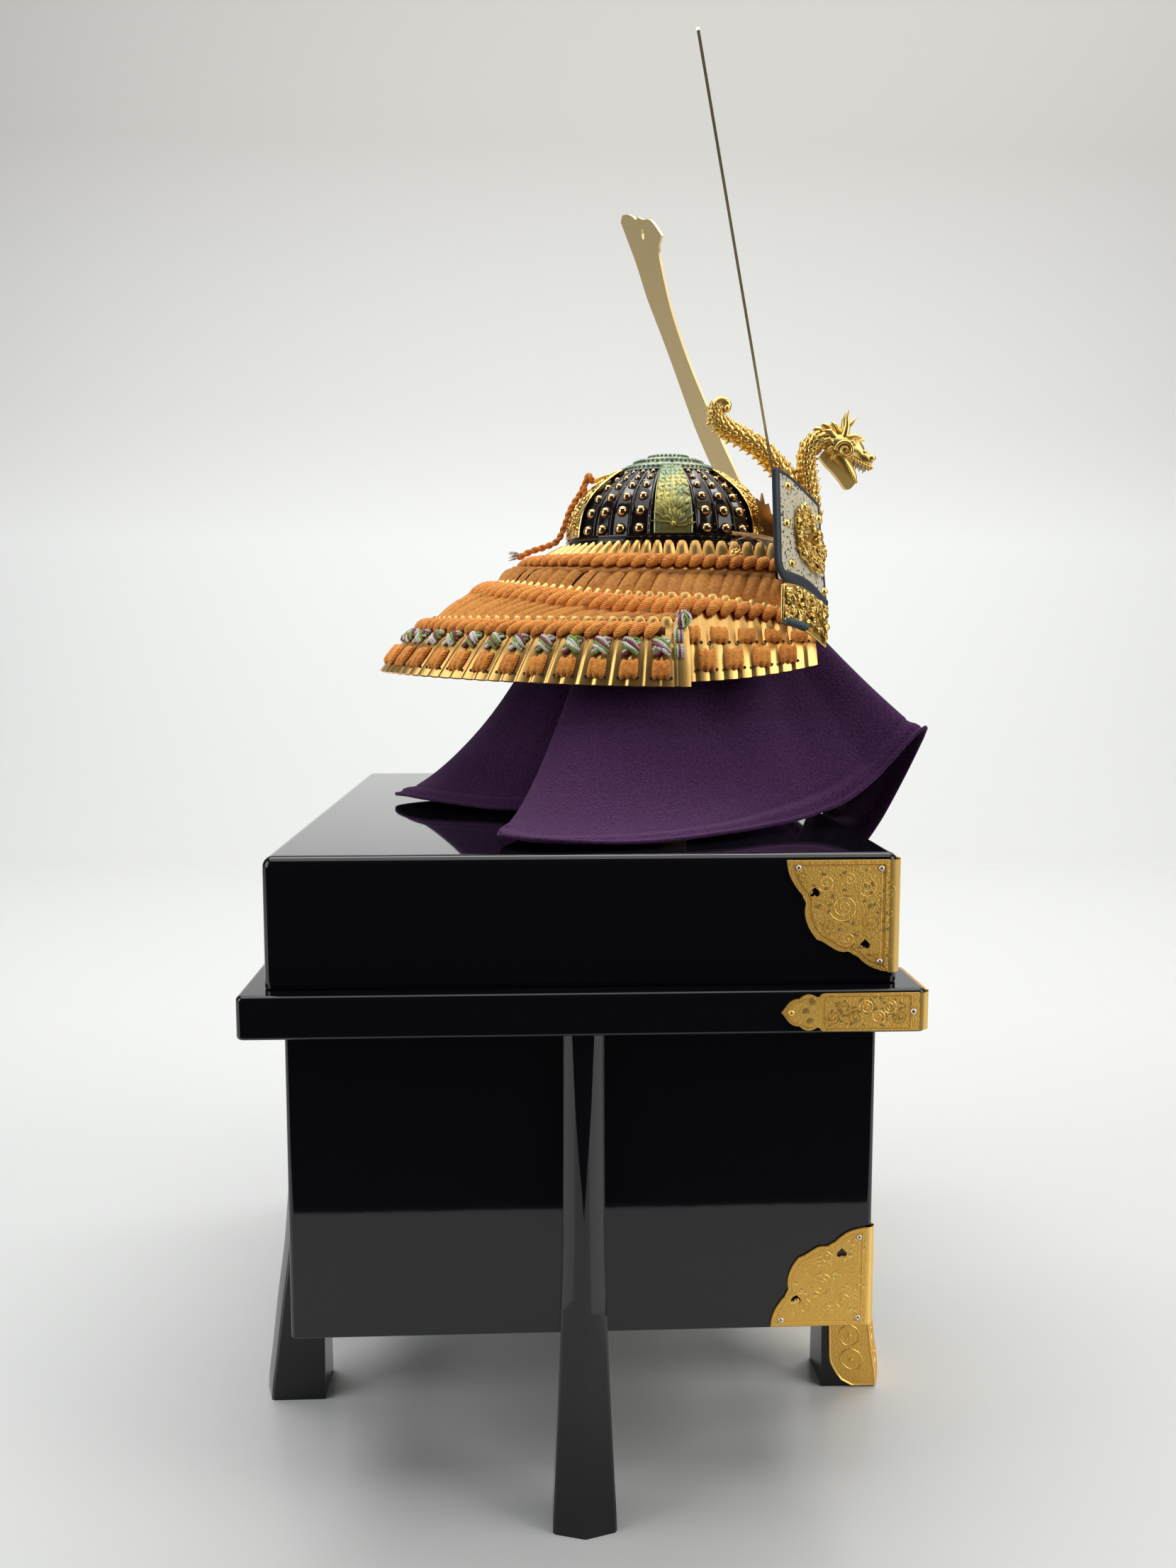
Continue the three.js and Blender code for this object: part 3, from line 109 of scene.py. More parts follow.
def addMesh(bag, points, faces, uvs=None, look=0, tint=0.5):
    start = len(bag["points"])
    bag["points"] += points
    bag["faces"] += [[start + i for i in f] for f in faces]
    bag["uvs"] += uvs or [(0.0, 0.0)] * len(points)
    bag["tints"] += [tint] * len(points)
    bag["looks"] += [look] * len(faces)


def grid(columns, rows, ring=False):
    # Faces of a lattice whose points run along v inside u
    wide = columns if ring else columns + 1
    tall = rows + 1
    return [[i * tall + j, (i + 1) % wide * tall + j, (i + 1) % wide * tall + j + 1, i * tall + j + 1]
            for i in range(columns) for j in range(rows)]


def wrapFaces(rows, sides):
    # Faces between rows of points that each close round a ring
    return [[i * sides + k, i * sides + (k + 1) % sides, (i + 1) * sides + (k + 1) % sides,
             (i + 1) * sides + k]
            for i in range(rows) for k in range(sides)]


def addSheet(bag, surface, columns, rows, look=0, tint=0.5, ring=False, uvSize=(1, 1)):
    spots = [(i / columns, j / rows) for i in range(columns if ring else columns + 1)
             for j in range(rows + 1)]
    addMesh(bag, [surface(u, v) for u, v in spots], grid(columns, rows, ring),
            [(u * uvSize[0], v * uvSize[1]) for u, v in spots], look, tint)


def addTube(bag, route, radius, sides=6, look=0, tint=0.5, flat=1.0, normals=None, caps=True):
    # Sweep along a route; radius is a number or a function of the share of the way
    size = radius if callable(radius) else (lambda t: radius)
    last = len(route) - 1
    points, uvs, gone, side = [], [], 0.0, None
    for i, here in enumerate(route):
        along = (route[min(i + 1, last)] - route[max(i - 1, 0)]).normalized()
        if normals:
            up = normals[i] - along * normals[i].dot(along)
        elif side is None:
            up = Vector((0, 0, 1)) if abs(along.z) < 0.9 else Vector((0, 1, 0))
            up = up - along * up.dot(along)
        else:
            up = along.cross(side) * -1
        up.normalize()
        side = along.cross(up).normalized()
        gone += (here - route[i - 1]).length if i else 0
        for k in range(sides):
            a = 2 * pi * k / sides
            r = size(i / last)
            points.append(here + side * (r * cos(a)) + up * (r * flat * sin(a)))
            uvs.append((gone, k / sides))
    faces = wrapFaces(last, sides)
    if caps:
        faces += [list(range(sides))[::-1], [last * sides + k for k in range(sides)]]
    addMesh(bag, points, faces, uvs, look, tint)


def addDome(bag, centre, normal, radius, height=None, sides=10, rows=4, look=0, tint=0.5, sunk=0.0):
    # Round-headed nail, its dome sunk a little into the surface
    normal = normal.normalized()
    side = normal.orthogonal().normalized()
    other = normal.cross(side)
    height = radius if height is None else height
    points = []
    for j in range(rows + 1):
        a = pi / 2 * (1 - j / rows)
        r, h = radius * sin(a) if j < rows else 0, height * cos(a)
        for k in range(sides if j < rows else 1):
            b = 2 * pi * k / sides
            points.append(centre + side * (r * cos(b)) + other * (r * sin(b)) + normal * (h - sunk))
    foot = (rows - 1) * sides
    faces = wrapFaces(rows - 1, sides)
    faces += [[foot + k, foot + (k + 1) % sides, rows * sides] for k in range(sides)]
    addMesh(bag, points, faces, None, look, tint)


def addBall(bag, centre, radii, turn=None, sides=10, rows=7, look=0, tint=0.5):
    # Bead with one radius, or with one for each of its own axes
    radii = radii if isinstance(radii, tuple) else (radii,) * 3
    points = []
    for j in range(rows + 1):
        a = pi * j / rows
        for k in range(sides):
            b = 2 * pi * k / sides
            unit = (sin(a) * cos(b), sin(a) * sin(b), cos(a))
            p = Vector(r * share for r, share in zip(radii, unit))
            points.append(centre + (turn @ p if turn else p))
    addMesh(bag, points, wrapFaces(rows, sides), None, look, tint)


def makePiece(name, bag, looks, replaces=(), weld=0.00002, sharp=50):
    mesh = bpy.data.meshes.new(name)
    mesh.from_pydata([toMetres(p) for p in bag["points"]], [], bag["faces"])
    for m in looks:
        mesh.materials.append(m)
    mesh.polygons.foreach_set("material_index", bag["looks"])
    layer = mesh.uv_layers.new(name="UVMap")
    for loop in mesh.loops:
        layer.data[loop.index].uv = bag["uvs"][loop.vertex_index]
    tint = mesh.attributes.new("tint", "FLOAT", "POINT")
    tint.data.foreach_set("value", bag["tints"])
    bm = bmesh.new()
    bm.from_mesh(mesh)
    bmesh.ops.remove_doubles(bm, verts=bm.verts, dist=weld)
    bmesh.ops.dissolve_degenerate(bm, edges=bm.edges, dist=weld / 2)
    bmesh.ops.recalc_face_normals(bm, faces=bm.faces)
    for f in bm.faces:
        f.smooth = True
    for e in bm.edges:
        if e.calc_face_angle(0) > radians(sharp):
            e.smooth = False
    bm.to_mesh(mesh)
    bm.free()
    obj = bpy.data.objects.new(name, mesh)
    scene.collection.objects.link(obj)
    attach(obj, "root")
    if replaces:
        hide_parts(*replaces)
    return obj


# Materials
def makeGroup(name, inputs, output, build):
    # Node group with named inputs and one named output
    tree = bpy.data.node_groups.new(name, "ShaderNodeTree")
    for label, kind, value in inputs:
        socket = tree.interface.new_socket(name=label, in_out="INPUT", socket_type=kind)
        if value is not None:
            socket.default_value = value
    tree.interface.new_socket(name=output[0], in_out="OUTPUT", socket_type=output[1])
    build(tree, tree.nodes.new("NodeGroupInput"), tree.nodes.new("NodeGroupOutput"))
    return tree


def makeNode(tree, kind, links=None, **values):
    node = tree.nodes.new(kind)
    for key, value in values.items():
        setattr(node, key, value)
    for label, source in (links or {}).items():
        socket = node.inputs[label]
        if isinstance(source, bpy.types.NodeSocket):
            tree.links.new(source, socket)
        else:
            socket.default_value = source
    return node


def addRamp(tree, factor, stops, socket):
    # Colour ramp of places and colours, led to one socket
    ramp = makeNode(tree, "ShaderNodeValToRGB", {"Fac": factor})
    for place, _ in stops[1:-1]:
        ramp.color_ramp.elements.new(place)
    for stop, (place, color) in zip(ramp.color_ramp.elements, stops):
        stop.position = place
        stop.color = (*color, 1)
    tree.links.new(ramp.outputs["Color"], socket)


def makeMath(tree, operation, *values):
    node = makeNode(tree, "ShaderNodeMath", dict(enumerate(values)), operation=operation)
    return node.outputs[0]


def buildGrain(tree, inner, outer):
    given = inner.outputs
    grain = makeNode(tree, "ShaderNodeTexNoise",
                     {"Vector": given["Vector"], "Scale": given["Scale"], "Detail": 4.0})
    bump = makeNode(tree, "ShaderNodeBump", {"Height": grain.outputs["Fac"], "Strength": given["Strength"],
                                             "Distance": given["Depth"]})
    tree.links.new(bump.outputs["Normal"], outer.inputs["Normal"])


grainGroup = makeGroup("surfaceGrain", [
    ("Vector", "NodeSocketVector", None), ("Scale", "NodeSocketFloat", 400.0),
    ("Strength", "NodeSocketFloat", 0.3), ("Depth", "NodeSocketFloat", 0.0003),
], ("Normal", "NodeSocketVector"), buildGrain)


def buildStrands(tree, inner, outer):
    # Fine plied strands running along a cord's own length, read from its UV map
    parts = makeNode(tree, "ShaderNodeSeparateXYZ", {"Vector": inner.outputs["Vector"]})
    slant = makeMath(tree, "MULTIPLY", parts.outputs["X"], inner.outputs["Pitch"])
    around = makeMath(tree, "MULTIPLY", parts.outputs["Y"], inner.outputs["Strands"])
    turn = makeMath(tree, "MULTIPLY", makeMath(tree, "ADD", slant, around), 6.2832)
    height = makeMath(tree, "MULTIPLY_ADD", makeMath(tree, "SINE", turn), 0.5, 0.5)
    tree.links.new(height, outer.inputs["Height"])


strandGroup = makeGroup("cordStrands", [
    ("Vector", "NodeSocketVector", None), ("Pitch", "NodeSocketFloat", 0.9),
    ("Strands", "NodeSocketFloat", 8.0),
], ("Height", "NodeSocketFloat"), buildStrands)


def newMaterial(name, color, rough, metal=0.0, **values):
    m = bpy.data.materials.new(name)
    m.use_nodes = True
    shader = m.node_tree.nodes["Principled BSDF"]
    shader.inputs["Base Color"].default_value = (*color, 1)
    shader.inputs["Roughness"].default_value = rough
    shader.inputs["Metallic"].default_value = metal
    for key, value in values.items():
        shader.inputs[key].default_value = value
    return m


def addGrain(m, scale, strength, depth):
    tree = m.node_tree
    where = makeNode(tree, "ShaderNodeTexCoord")
    group = makeNode(tree, "ShaderNodeGroup", node_tree=grainGroup)
    tree.links.new(where.outputs["Object"], group.inputs["Vector"])
    group.inputs["Scale"].default_value = scale
    group.inputs["Strength"].default_value = strength
    group.inputs["Depth"].default_value = depth
    tree.links.new(group.outputs["Normal"], tree.nodes["Principled BSDF"].inputs["Normal"])
    return m


def addMottle(m, colors, scale, low=0.35, high=0.65, detail=3.0):
    # Base colour wanders between two tones over the surface
    tree = m.node_tree
    where = makeNode(tree, "ShaderNodeTexCoord")
    spots = makeNode(tree, "ShaderNodeTexNoise",
                     {"Vector": where.outputs["Object"], "Scale": scale, "Detail": detail})
    addRamp(tree, spots.outputs["Fac"], list(zip((low, high), colors)),
            tree.nodes["Principled BSDF"].inputs["Base Color"])


# Cord settings; the strand height and the fuzz noise pick the colour, so the grooves get painted shade
cordLook = {"rough": 0.85, "sheen": 0.15, "fuzzScale": 620.0, "strandShare": 0.3, "contrast": 1.5,
            "darken": -0.7, "tintShare": 0.5, "grooveShadeAt": 0.15, "lightAt": 0.75, "depth": 0.0006}


def newCord(name, grooveShadeAndTone, light, pitch, strands):
    # Plied cord: painted shade between its strands and the lighter colour on them, mixed with noise and a
    # tint of each piece's own
    m = newMaterial(name, light, cordLook["rough"],
                    **{"Sheen Weight": cordLook["sheen"], "Sheen Roughness": 0.4})
    tree = m.node_tree
    shader = tree.nodes["Principled BSDF"]
    where = makeNode(tree, "ShaderNodeTexCoord")
    group = makeNode(tree, "ShaderNodeGroup", node_tree=strandGroup)
    tree.links.new(where.outputs["UV"], group.inputs["Vector"])
    group.inputs["Pitch"].default_value = pitch
    group.inputs["Strands"].default_value = strands
    fuzz = makeNode(tree, "ShaderNodeTexNoise",
                    {"Vector": where.outputs["Object"], "Scale": cordLook["fuzzScale"], "Detail": 4.0})
    strand = group.outputs["Height"]
    both = makeMath(tree, "MULTIPLY_ADD", strand, cordLook["strandShare"], fuzz.outputs["Fac"])
    tint = makeNode(tree, "ShaderNodeAttribute", attribute_name="tint")
    tone = makeMath(tree, "MULTIPLY_ADD", both, cordLook["contrast"], cordLook["darken"])
    shade = makeMath(tree, "MULTIPLY_ADD", tint.outputs["Fac"], cordLook["tintShare"], tone)
    # Ramp from painted groove shade, mixed with random tone, to the cord's own colour
    addRamp(tree, shade, [(cordLook["grooveShadeAt"], grooveShadeAndTone), (cordLook["lightAt"], light)],
            shader.inputs["Base Color"])
    bump = makeNode(tree, "ShaderNodeBump", {"Height": both, "Strength": 0.9, "Distance": cordLook["depth"]})
    tree.links.new(bump.outputs["Normal"], shader.inputs["Normal"])
    return m


lacquer = newMaterial("blackLacquer", (0.004, 0.004, 0.006), 0.035, **{"Specular IOR Level": 0.5})
addGrain(lacquer, 14, 0.08, 0.0006)
goldFitting = addGrain(newMaterial("goldFitting", (0.97, 0.58, 0.12), 0.44, 0.72), 1250, 1.0, 0.0005)
goldEdge = newMaterial("goldFittingEdge", (1.0, 0.64, 0.17), 0.34, 0.8)
goldPlate = newMaterial("goldPlate", (0.86, 0.66, 0.34), 0.42, 1.0)
goldRelief = addGrain(newMaterial("goldRelief", (0.85, 0.58, 0.17), 0.24, 1.0), 500, 0.25, 0.0003)
goldScale = addGrain(newMaterial("goldScale", (0.83, 0.5, 0.16), 0.33, 1.0), 300, 0.08, 0.0002)
rivetMetal = newMaterial("rivetMetal", (0.72, 0.47, 0.22), 0.16, 1.0)
nailMetal = newMaterial("nailMetal", (0.72, 0.7, 0.66), 0.3, 1.0)
bowlBlack = newMaterial("bowlBlack", (0.01, 0.007, 0.008), 0.09)
antique = addGrain(newMaterial("antiqueRelief", (0.4, 0.4, 0.2), 0.4, 0.8), 600, 0.3, 0.0003)
addMottle(antique, ((0.2, 0.26, 0.15), (0.46, 0.4, 0.12)), 60)
orangeCord = newCord("orangeBraid", (0.55, 0.14, 0.014), (1.0, 0.39, 0.06), 0.9, 7)
whiteCord = newCord("whiteCord", (0.4, 0.38, 0.3), (0.86, 0.84, 0.78), 0.8, 3)
greenCord = newCord("greenCord", (0.08, 0.16, 0.03), (0.3, 0.45, 0.09), 0.8, 3)
maroonCord = newCord("maroonCord", (0.1, 0.015, 0.025), (0.36, 0.09, 0.12), 0.8, 3)
navyEdge = addGrain(newMaterial("navyEdging", (0.03, 0.042, 0.06), 0.5), 700, 0.3, 0.0002)
tealEdge = addGrain(newMaterial("tealEdging", (0.06, 0.1, 0.11), 0.7), 500, 0.6, 0.0005)
postWood = newMaterial("postWood", (0.45, 0.3, 0.16), 0.5)
# Near-black: painted shade for the lace holes on the guard, also the thin line inside the turn-backs' edging
holeShadeAndDarkSeam = newMaterial("holeShadeAndDarkSeam", (0.02, 0.012, 0.008), 0.8)
print("materials made")

# Camera, lights and stage
cameraSizes = {"place": (-720.5, 23.5, 368.9), "turn": 2.69, "pitch": 5.73, "lens": 30.68}


def makeCamera():
    data = bpy.data.cameras.new("photoCamera")
    data.lens = cameraSizes["lens"]
    data.sensor_width = 36
    data.clip_start = 0.02
    obj = bpy.data.objects.new("photoCamera", data)
    scene.collection.objects.link(obj)
    a, p = radians(cameraSizes["turn"]), radians(cameraSizes["pitch"])
    ahead = Vector((cos(p) * cos(a), -cos(p) * sin(a), -sin(p)))
    obj.location = toMetres(cameraSizes["place"])
    obj.rotation_euler = ahead.to_track_quat("-Z", "Y").to_euler()
    scene.camera = obj


floorSizes = {"front": -0.49, "bend": 1.5, "radius": 0.9, "top": 3.4, "half": 3.5, "steps": 12, "fade": 0.02}
# Floor tone, then the backdrop with painted light low on its curve and painted shade towards its top
sweepToneAndShade = [(0.0, (0.68, 0.69, 0.68)), (0.4, (0.76, 0.77, 0.76)), (1.0, (0.5, 0.49, 0.47))]


def makeSweep():
    # Pale floor that curves up into a backdrop and stops short of the camera
    bend, radius, half = floorSizes["bend"], floorSizes["radius"], floorSizes["half"]
    turns = [pi / 2 * k / floorSizes["steps"] for k in range(1, floorSizes["steps"] + 1)]
    profile = [(floorSizes["front"], 0.0), (bend, 0.0)]
    profile += [(bend + radius * sin(a), radius - radius * cos(a)) for a in turns]
    profile.append((bend + radius, floorSizes["top"]))
    mesh = bpy.data.meshes.new("sweep")
    points = [(x, y, z) for x, z in profile for y in (-half, half)]
    mesh.from_pydata(points, [], [[2 * i, 2 * i + 1, 2 * i + 3, 2 * i + 2] for i in range(len(profile) - 1)])
    mesh.shade_smooth()
    floor = newMaterial("paleSweep", (0.8, 0.8, 0.79), 0.22, **{"Specular IOR Level": 0.35})
    tree = floor.node_tree
    shader = tree.nodes["Principled BSDF"]
    where = makeNode(tree, "ShaderNodeTexCoord")
    parts = makeNode(tree, "ShaderNodeSeparateXYZ", {"Vector": where.outputs["Object"]})

    def byHeight(start, end, low, high):
        ends = {"From Min": start, "From Max": end, "To Min": low, "To Max": high}
        return makeNode(tree, "ShaderNodeMapRange", {"Value": parts.outputs["Z"], **ends}).outputs["Result"]

    # The floor shines a little and the backdrop is dull
    fade = floorSizes["fade"]
    # Base colour by height: painted light on the lower curve, painted shade higher up
    addRamp(tree, byHeight(fade, bend, 0.0, 1.0), sweepToneAndShade, shader.inputs["Base Color"])
    tree.links.new(byHeight(0.0, fade, 0.22, 0.95), shader.inputs["Roughness"])
    tree.links.new(byHeight(0.0, fade, 0.35, 0.0), shader.inputs["Specular IOR Level"])
    mesh.materials.append(floor)
    obj = bpy.data.objects.new("sweep", mesh)
    scene.collection.objects.link(obj)


lightTable = [
    {"name": "overhead", "place": (0.1, 0.0, 2.3), "aim": (0.0, 0.0, 0.2), "size": (2.6, 2.6), "power": 42,
     "color": (1, 1, 1)},
    {"name": "backdropWash", "place": (0.9, -0.5, 2.6), "aim": (2.3, -0.3, 0.6), "size": (4.6, 0.9),
     "power": 60, "color": (1, 1, 1)},
    {"name": "leftPanel", "place": (-0.7, 2.0, 1.0), "aim": (0.0, 0.0, 0.35), "size": (1.4, 1.8), "power": 22,
     "color": (0.97, 0.98, 1.0)},
    {"name": "rightPanel", "place": (-0.9, -1.9, 1.2), "aim": (0.0, 0.0, 0.35), "size": (1.4, 1.8),
     "power": 26, "color": (1.0, 0.98, 0.95)},
]
roomLook = {"color": (0.5, 0.52, 0.55, 1), "strength": 0.06}


def addLight(name, place, aim, size, power, color):
    data = bpy.data.lights.new(name, "AREA")
    data.shape = "RECTANGLE"
    data.size, data.size_y = size
    data.energy = power
    data.color = color
    obj = bpy.data.objects.new(name, data)
    scene.collection.objects.link(obj)
    obj.location = place
    obj.rotation_euler = (Vector(aim) - Vector(place)).to_track_quat("-Z", "Y").to_euler()


makeCamera()
makeSweep()
for light in lightTable:
    addLight(**light)
world = bpy.data.worlds.new("dimRoom")
world.use_nodes = True
background = world.node_tree.nodes["Background"]
background.inputs["Color"].default_value = roomLook["color"]
background.inputs["Strength"].default_value = roomLook["strength"]
scene.world = world
print("stage made")

# Chest
chest = {"lidWidth": 370.0, "lidDepth": 260.0, "lidTop": 286.2, "lidBottom": 231.9, "lidEdge": 4.5,
         "rimOver": 9.7, "rimTop": 231.6, "rimBottom": 213.6, "rimCorner": 3.5, "inset": 6.6,
         "bodyTop": 213.3, "bodyCorner": 2.5, "clearance": 80.0, "wall": 7.0}
bodyWidth = chest["lidWidth"] - 2 * chest["inset"]
bodyDepth = chest["lidDepth"] - 2 * chest["inset"]
rimWidth = chest["lidWidth"] + 2 * chest["rimOver"]
rimDepth = chest["lidDepth"] + 2 * chest["rimOver"]


def makeBoard(name, node, width, depth, low, high, opens, inset, floor, corner, top, foot):
    # Rounded block with a hollow that opens upwards ("up"), downwards ("down") or both ways ("through");
    # corner, top and foot are the radii of its upright, upper and lower edges
    bm = bmesh.new()

    def ring(w, d, z):
        return [bm.verts.new((sx * w / 2, sy * d / 2, z)) for sx, sy in ((1, 1), (-1, 1), (-1, -1), (1, -1))]

    w, d = width - 2 * inset, depth - 2 * inset
    outLow, outHigh = ring(width, depth, low), ring(width, depth, high)
    inLow = ring(w, d, low + floor if opens == "up" else low)
    inHigh = ring(w, d, high - floor if opens == "down" else high)
    for k in range(4):
        n = (k + 1) % 4
        bm.faces.new((outLow[k], outLow[n], outHigh[n], outHigh[k]))
        bm.faces.new((inLow[k], inHigh[k], inHigh[n], inLow[n]))
        if opens != "down":
            bm.faces.new((outHigh[k], outHigh[n], inHigh[n], inHigh[k]))
        if opens != "up":
            bm.faces.new((outLow[k], inLow[k], inLow[n], outLow[n]))
    if opens == "up":
        bm.faces.new(outLow[::-1])
        bm.faces.new(inLow)
    if opens == "down":
        bm.faces.new(outHigh)
        bm.faces.new(inHigh[::-1])
    bmesh.ops.recalc_face_normals(bm, faces=bm.faces)
    outer = set(outLow + outHigh)

    def bevel(edges, size, segments):
        bmesh.ops.bevel(bm, geom=edges, offset=size, segments=segments, profile=0.5, affect="EDGES",
                        clamp_overlap=True)

    def outline(z):
        # Sharp edges round the outside at one height
        near = corner + 0.1
        verts = {v for v in bm.verts if abs(v.co.z - z) < 0.01
                 and (abs(abs(v.co.x) - width / 2) < near or abs(abs(v.co.y) - depth / 2) < near)}
        return [e for e in bm.edges if all(v in verts for v in e.verts) and e.calc_face_angle(0) > 1.2]

    bevel([e for e in bm.edges if all(v in outer for v in e.verts)
           and abs(e.verts[0].co.z - e.verts[1].co.z) > 1], corner, 5)
    bevel(outline(high), top, 5)
    bevel(outline(low), foot, 3)
    bag = newBag()
    bm.verts.index_update()
    addMesh(bag, [v.co.copy() for v in bm.verts], [[v.index for v in f.verts] for f in bm.faces])
    bm.free()
    obj = makePiece(name, bag, [lacquer], [node], sharp=35)
    obj.modifiers.new("even", "WEIGHTED_NORMAL").keep_sharp = True
    return obj


wall = chest["wall"]
rimInset = chest["rimOver"] + chest["inset"] + wall
makeBoard("chestBody", "chest_body", bodyWidth, bodyDepth, chest["clearance"], chest["bodyTop"], "up", wall,
          wall, chest["bodyCorner"], 0.6, 0.6)
makeBoard("chestRim", "chest_rim", rimWidth, rimDepth, chest["rimBottom"], chest["rimTop"], "through",
          rimInset, 0, chest["rimCorner"], 2.0, 1.4)
makeBoard("chestLid", "chest_lid", chest["lidWidth"], chest["lidDepth"], chest["lidBottom"], chest["lidTop"],
          "down", wall, wall, chest["lidEdge"], chest["lidEdge"], 0.4)

leg = {"width": 27.0, "side": 30.5, "end": 20.0, "ridge": 4.4, "spacing": 148.0, "height": 213.3, "edge": 0.9,
       "fit": 0.3}
legTable = makeTable("up width out", (0.00, 1.00, 1.00), (0.10, 0.93, 0.92), (0.22, 0.84, 0.82),
                     (0.38, 0.74, 0.67), (0.58, 0.66, 0.57), (1.00, 0.63, 0.51))


def legSection(up, reach):
    return (leg["width"] * steady(legTable, up, "up", "width"), reach * steady(legTable, up, "up", "out"))


def turned(p, x, y, angle):
    a = radians(angle)
    return Vector((x + p[0] * cos(a) - p[1] * sin(a), y + p[0] * sin(a) + p[1] * cos(a), p[2]))


def makeLeg(name, node, reach, x, y, angle):
    # Splayed leg with a blunt ridge down its outer side
    bag, rows, e = newBag(), 30, leg["edge"]
    points = []
    for i in range(rows + 1):
        up = i / rows
        w, out = legSection(up, reach)
        half, back = w / 2, leg["ridge"] - out
        flank = [(half, back + e), (half - e, back - e * 0.4), (e * 1.4, -out + 0.45)]
        outline = [(half, 0), (-half, 0)] + [(-px, py) for px, py in flank] + [(0, -out + 0.12)] + flank[::-1]
        points += [turned((px, py, up * leg["height"]), x, y, angle) for px, py in outline]
    count = len(outline)
    addMesh(bag, points,
            wrapFaces(rows, count) + [list(range(count))[::-1], [rows * count + k for k in range(count)]])
    makePiece(name, bag, [lacquer], [node], sharp=28)


sideY = bodyDepth / 2 + leg["fit"]
endX = bodyWidth / 2 + leg["fit"]
for side, sx in (("left", -1), ("right", 1)):
    makeLeg(f"legFront{side.title()}", f"leg_front_{side}", leg["side"], sx * leg["spacing"] / 2, -sideY, 0)
    makeLeg(f"legBack{side.title()}", f"leg_back_{side}", leg["side"], sx * leg["spacing"] / 2, sideY, 180)
    makeLeg(f"legEnd{side.title()}", f"leg_end_{side}", leg["end"], sx * endX, 0, sx * 90)
print("chest made")

# Gold fittings
fitting = {"thick": 0.9, "fit": 0.3, "lidPlate": 47.0, "bodyPlate": 43.3, "underTop": 2.7, "aboveBottom": 1.0,
           "bandLength": 60.0, "bandHeight": 15.6}
# Scallop arcs from the long top edge to the foot of the folded edge: share along, share deep
scallopArcs = [
    ((1.00, 0.0), (1.00, 0.13), (0.93, 0.22), (0.90, 0.26)),
    ((0.90, 0.26), (0.885, 0.29), (0.86, 0.29), (0.855, 0.33)),
    ((0.855, 0.33), (0.84, 0.36), (0.83, 0.36), (0.83, 0.39)),
    ((0.83, 0.39), (0.86, 0.50), (0.80, 0.62), (0.73, 0.70)),
    ((0.73, 0.70), (0.62, 0.73), (0.57, 0.83), (0.46, 0.81)),
    ((0.46, 0.81), (0.43, 0.81), (0.42, 0.83), (0.40, 0.84)),
    ((0.40, 0.84), (0.36, 0.85), (0.35, 0.88), (0.32, 0.90)),
    ((0.32, 0.90), (0.24, 0.97), (0.15, 0.99), (0.0, 1.0)),
]


def bezier(ctrl, t):
    a, b, c, d = (Vector(p) for p in ctrl)
    return a * (1 - t) ** 3 + b * 3 * t * (1 - t) ** 2 + c * 3 * t * t * (1 - t) + d * t ** 3


def heartOutline(x, z, size, flip):
    half = [((0, -0.55), (0.2, -0.2), (0.6, -0.1), (0.5, 0.25)),
            ((0.5, 0.25), (0.4, 0.55), (0.1, 0.5), (0, 0.28))]
    arcs = half + [[(-px, py) for px, py in arc[::-1]] for arc in half[::-1]]
    spots = [bezier(arc, i / 6) for arc in arcs for i in range(6)]
    return [(x + size * p.x, z + flip * size * p.y) for p in spots]


def scallopLine(steps, ends=0):
    # Spots along the scalloped edge, with the arcs' own ends once or twice
    return [bezier(arc, i / steps) for arc in scallopArcs for i in range(steps + ends)]


def cutSheet(bag, outline, holes, onto, thick, look=0, inset=0.35):
    # Flat sheet with holes, thickened, its front edge softened; onto(s, z, gap) puts it in space
    bm = bmesh.new()
    loops = []
    for loop in [outline] + holes:
        verts = [bm.verts.new((p[0], p[1], 0)) for p in loop]
        edges = [bm.edges.new((verts[i], verts[(i + 1) % len(verts)])) for i in range(len(verts))]
        loops.append((verts, edges))
    bmesh.ops.triangle_fill(bm, use_beauty=True, edges=[e for _, es in loops for e in es])
    bm.verts.index_update()
    count = len(bm.verts)
    flat = [v.co.copy() for v in bm.verts]
    front = [onto(p.x, p.y, thick) for p in flat]
    back = [onto(p.x, p.y, 0) for p in flat]
    faces = [[v.index for v in f.verts] for f in bm.faces]
    low = [onto(p.x, p.y, thick - inset) for p in flat]
    walls = []
    for verts, _ in loops:
        for i in range(len(verts)):
            a, b = verts[i].index, verts[(i + 1) % len(verts)].index
            walls += [[a, b, b + 2 * count, a + 2 * count],
                      [a + 2 * count, b + 2 * count, b + count, a + count]]
    bm.free()
    behind = [[i + count for i in f][::-1] for f in faces]
    addMesh(bag, front + back + low, faces + behind + walls, None, look)


def scroll(bag, onto, centre, size, turns, start, lift, wire, hand=1, look=0):
    # Spiral stem in raised wire with a bud at its heart
    route = []
    steps = int(14 * turns)
    for i in range(steps + 1):
        t = i / steps
        a = start + hand * t * turns * 2 * pi
        r = size * (1 - 0.86 * t)
        route.append(onto(centre[0] + r * cos(a), centre[1] + r * sin(a), lift))
    addTube(bag, route, lambda t: wire * (1 - 0.35 * t), 5, look, flat=0.9)
    bud = onto(centre[0], centre[1], lift)
    addBall(bag, bud, (wire * 1.9, wire * 1.9, wire * 1.9), None, 6, 4, look)


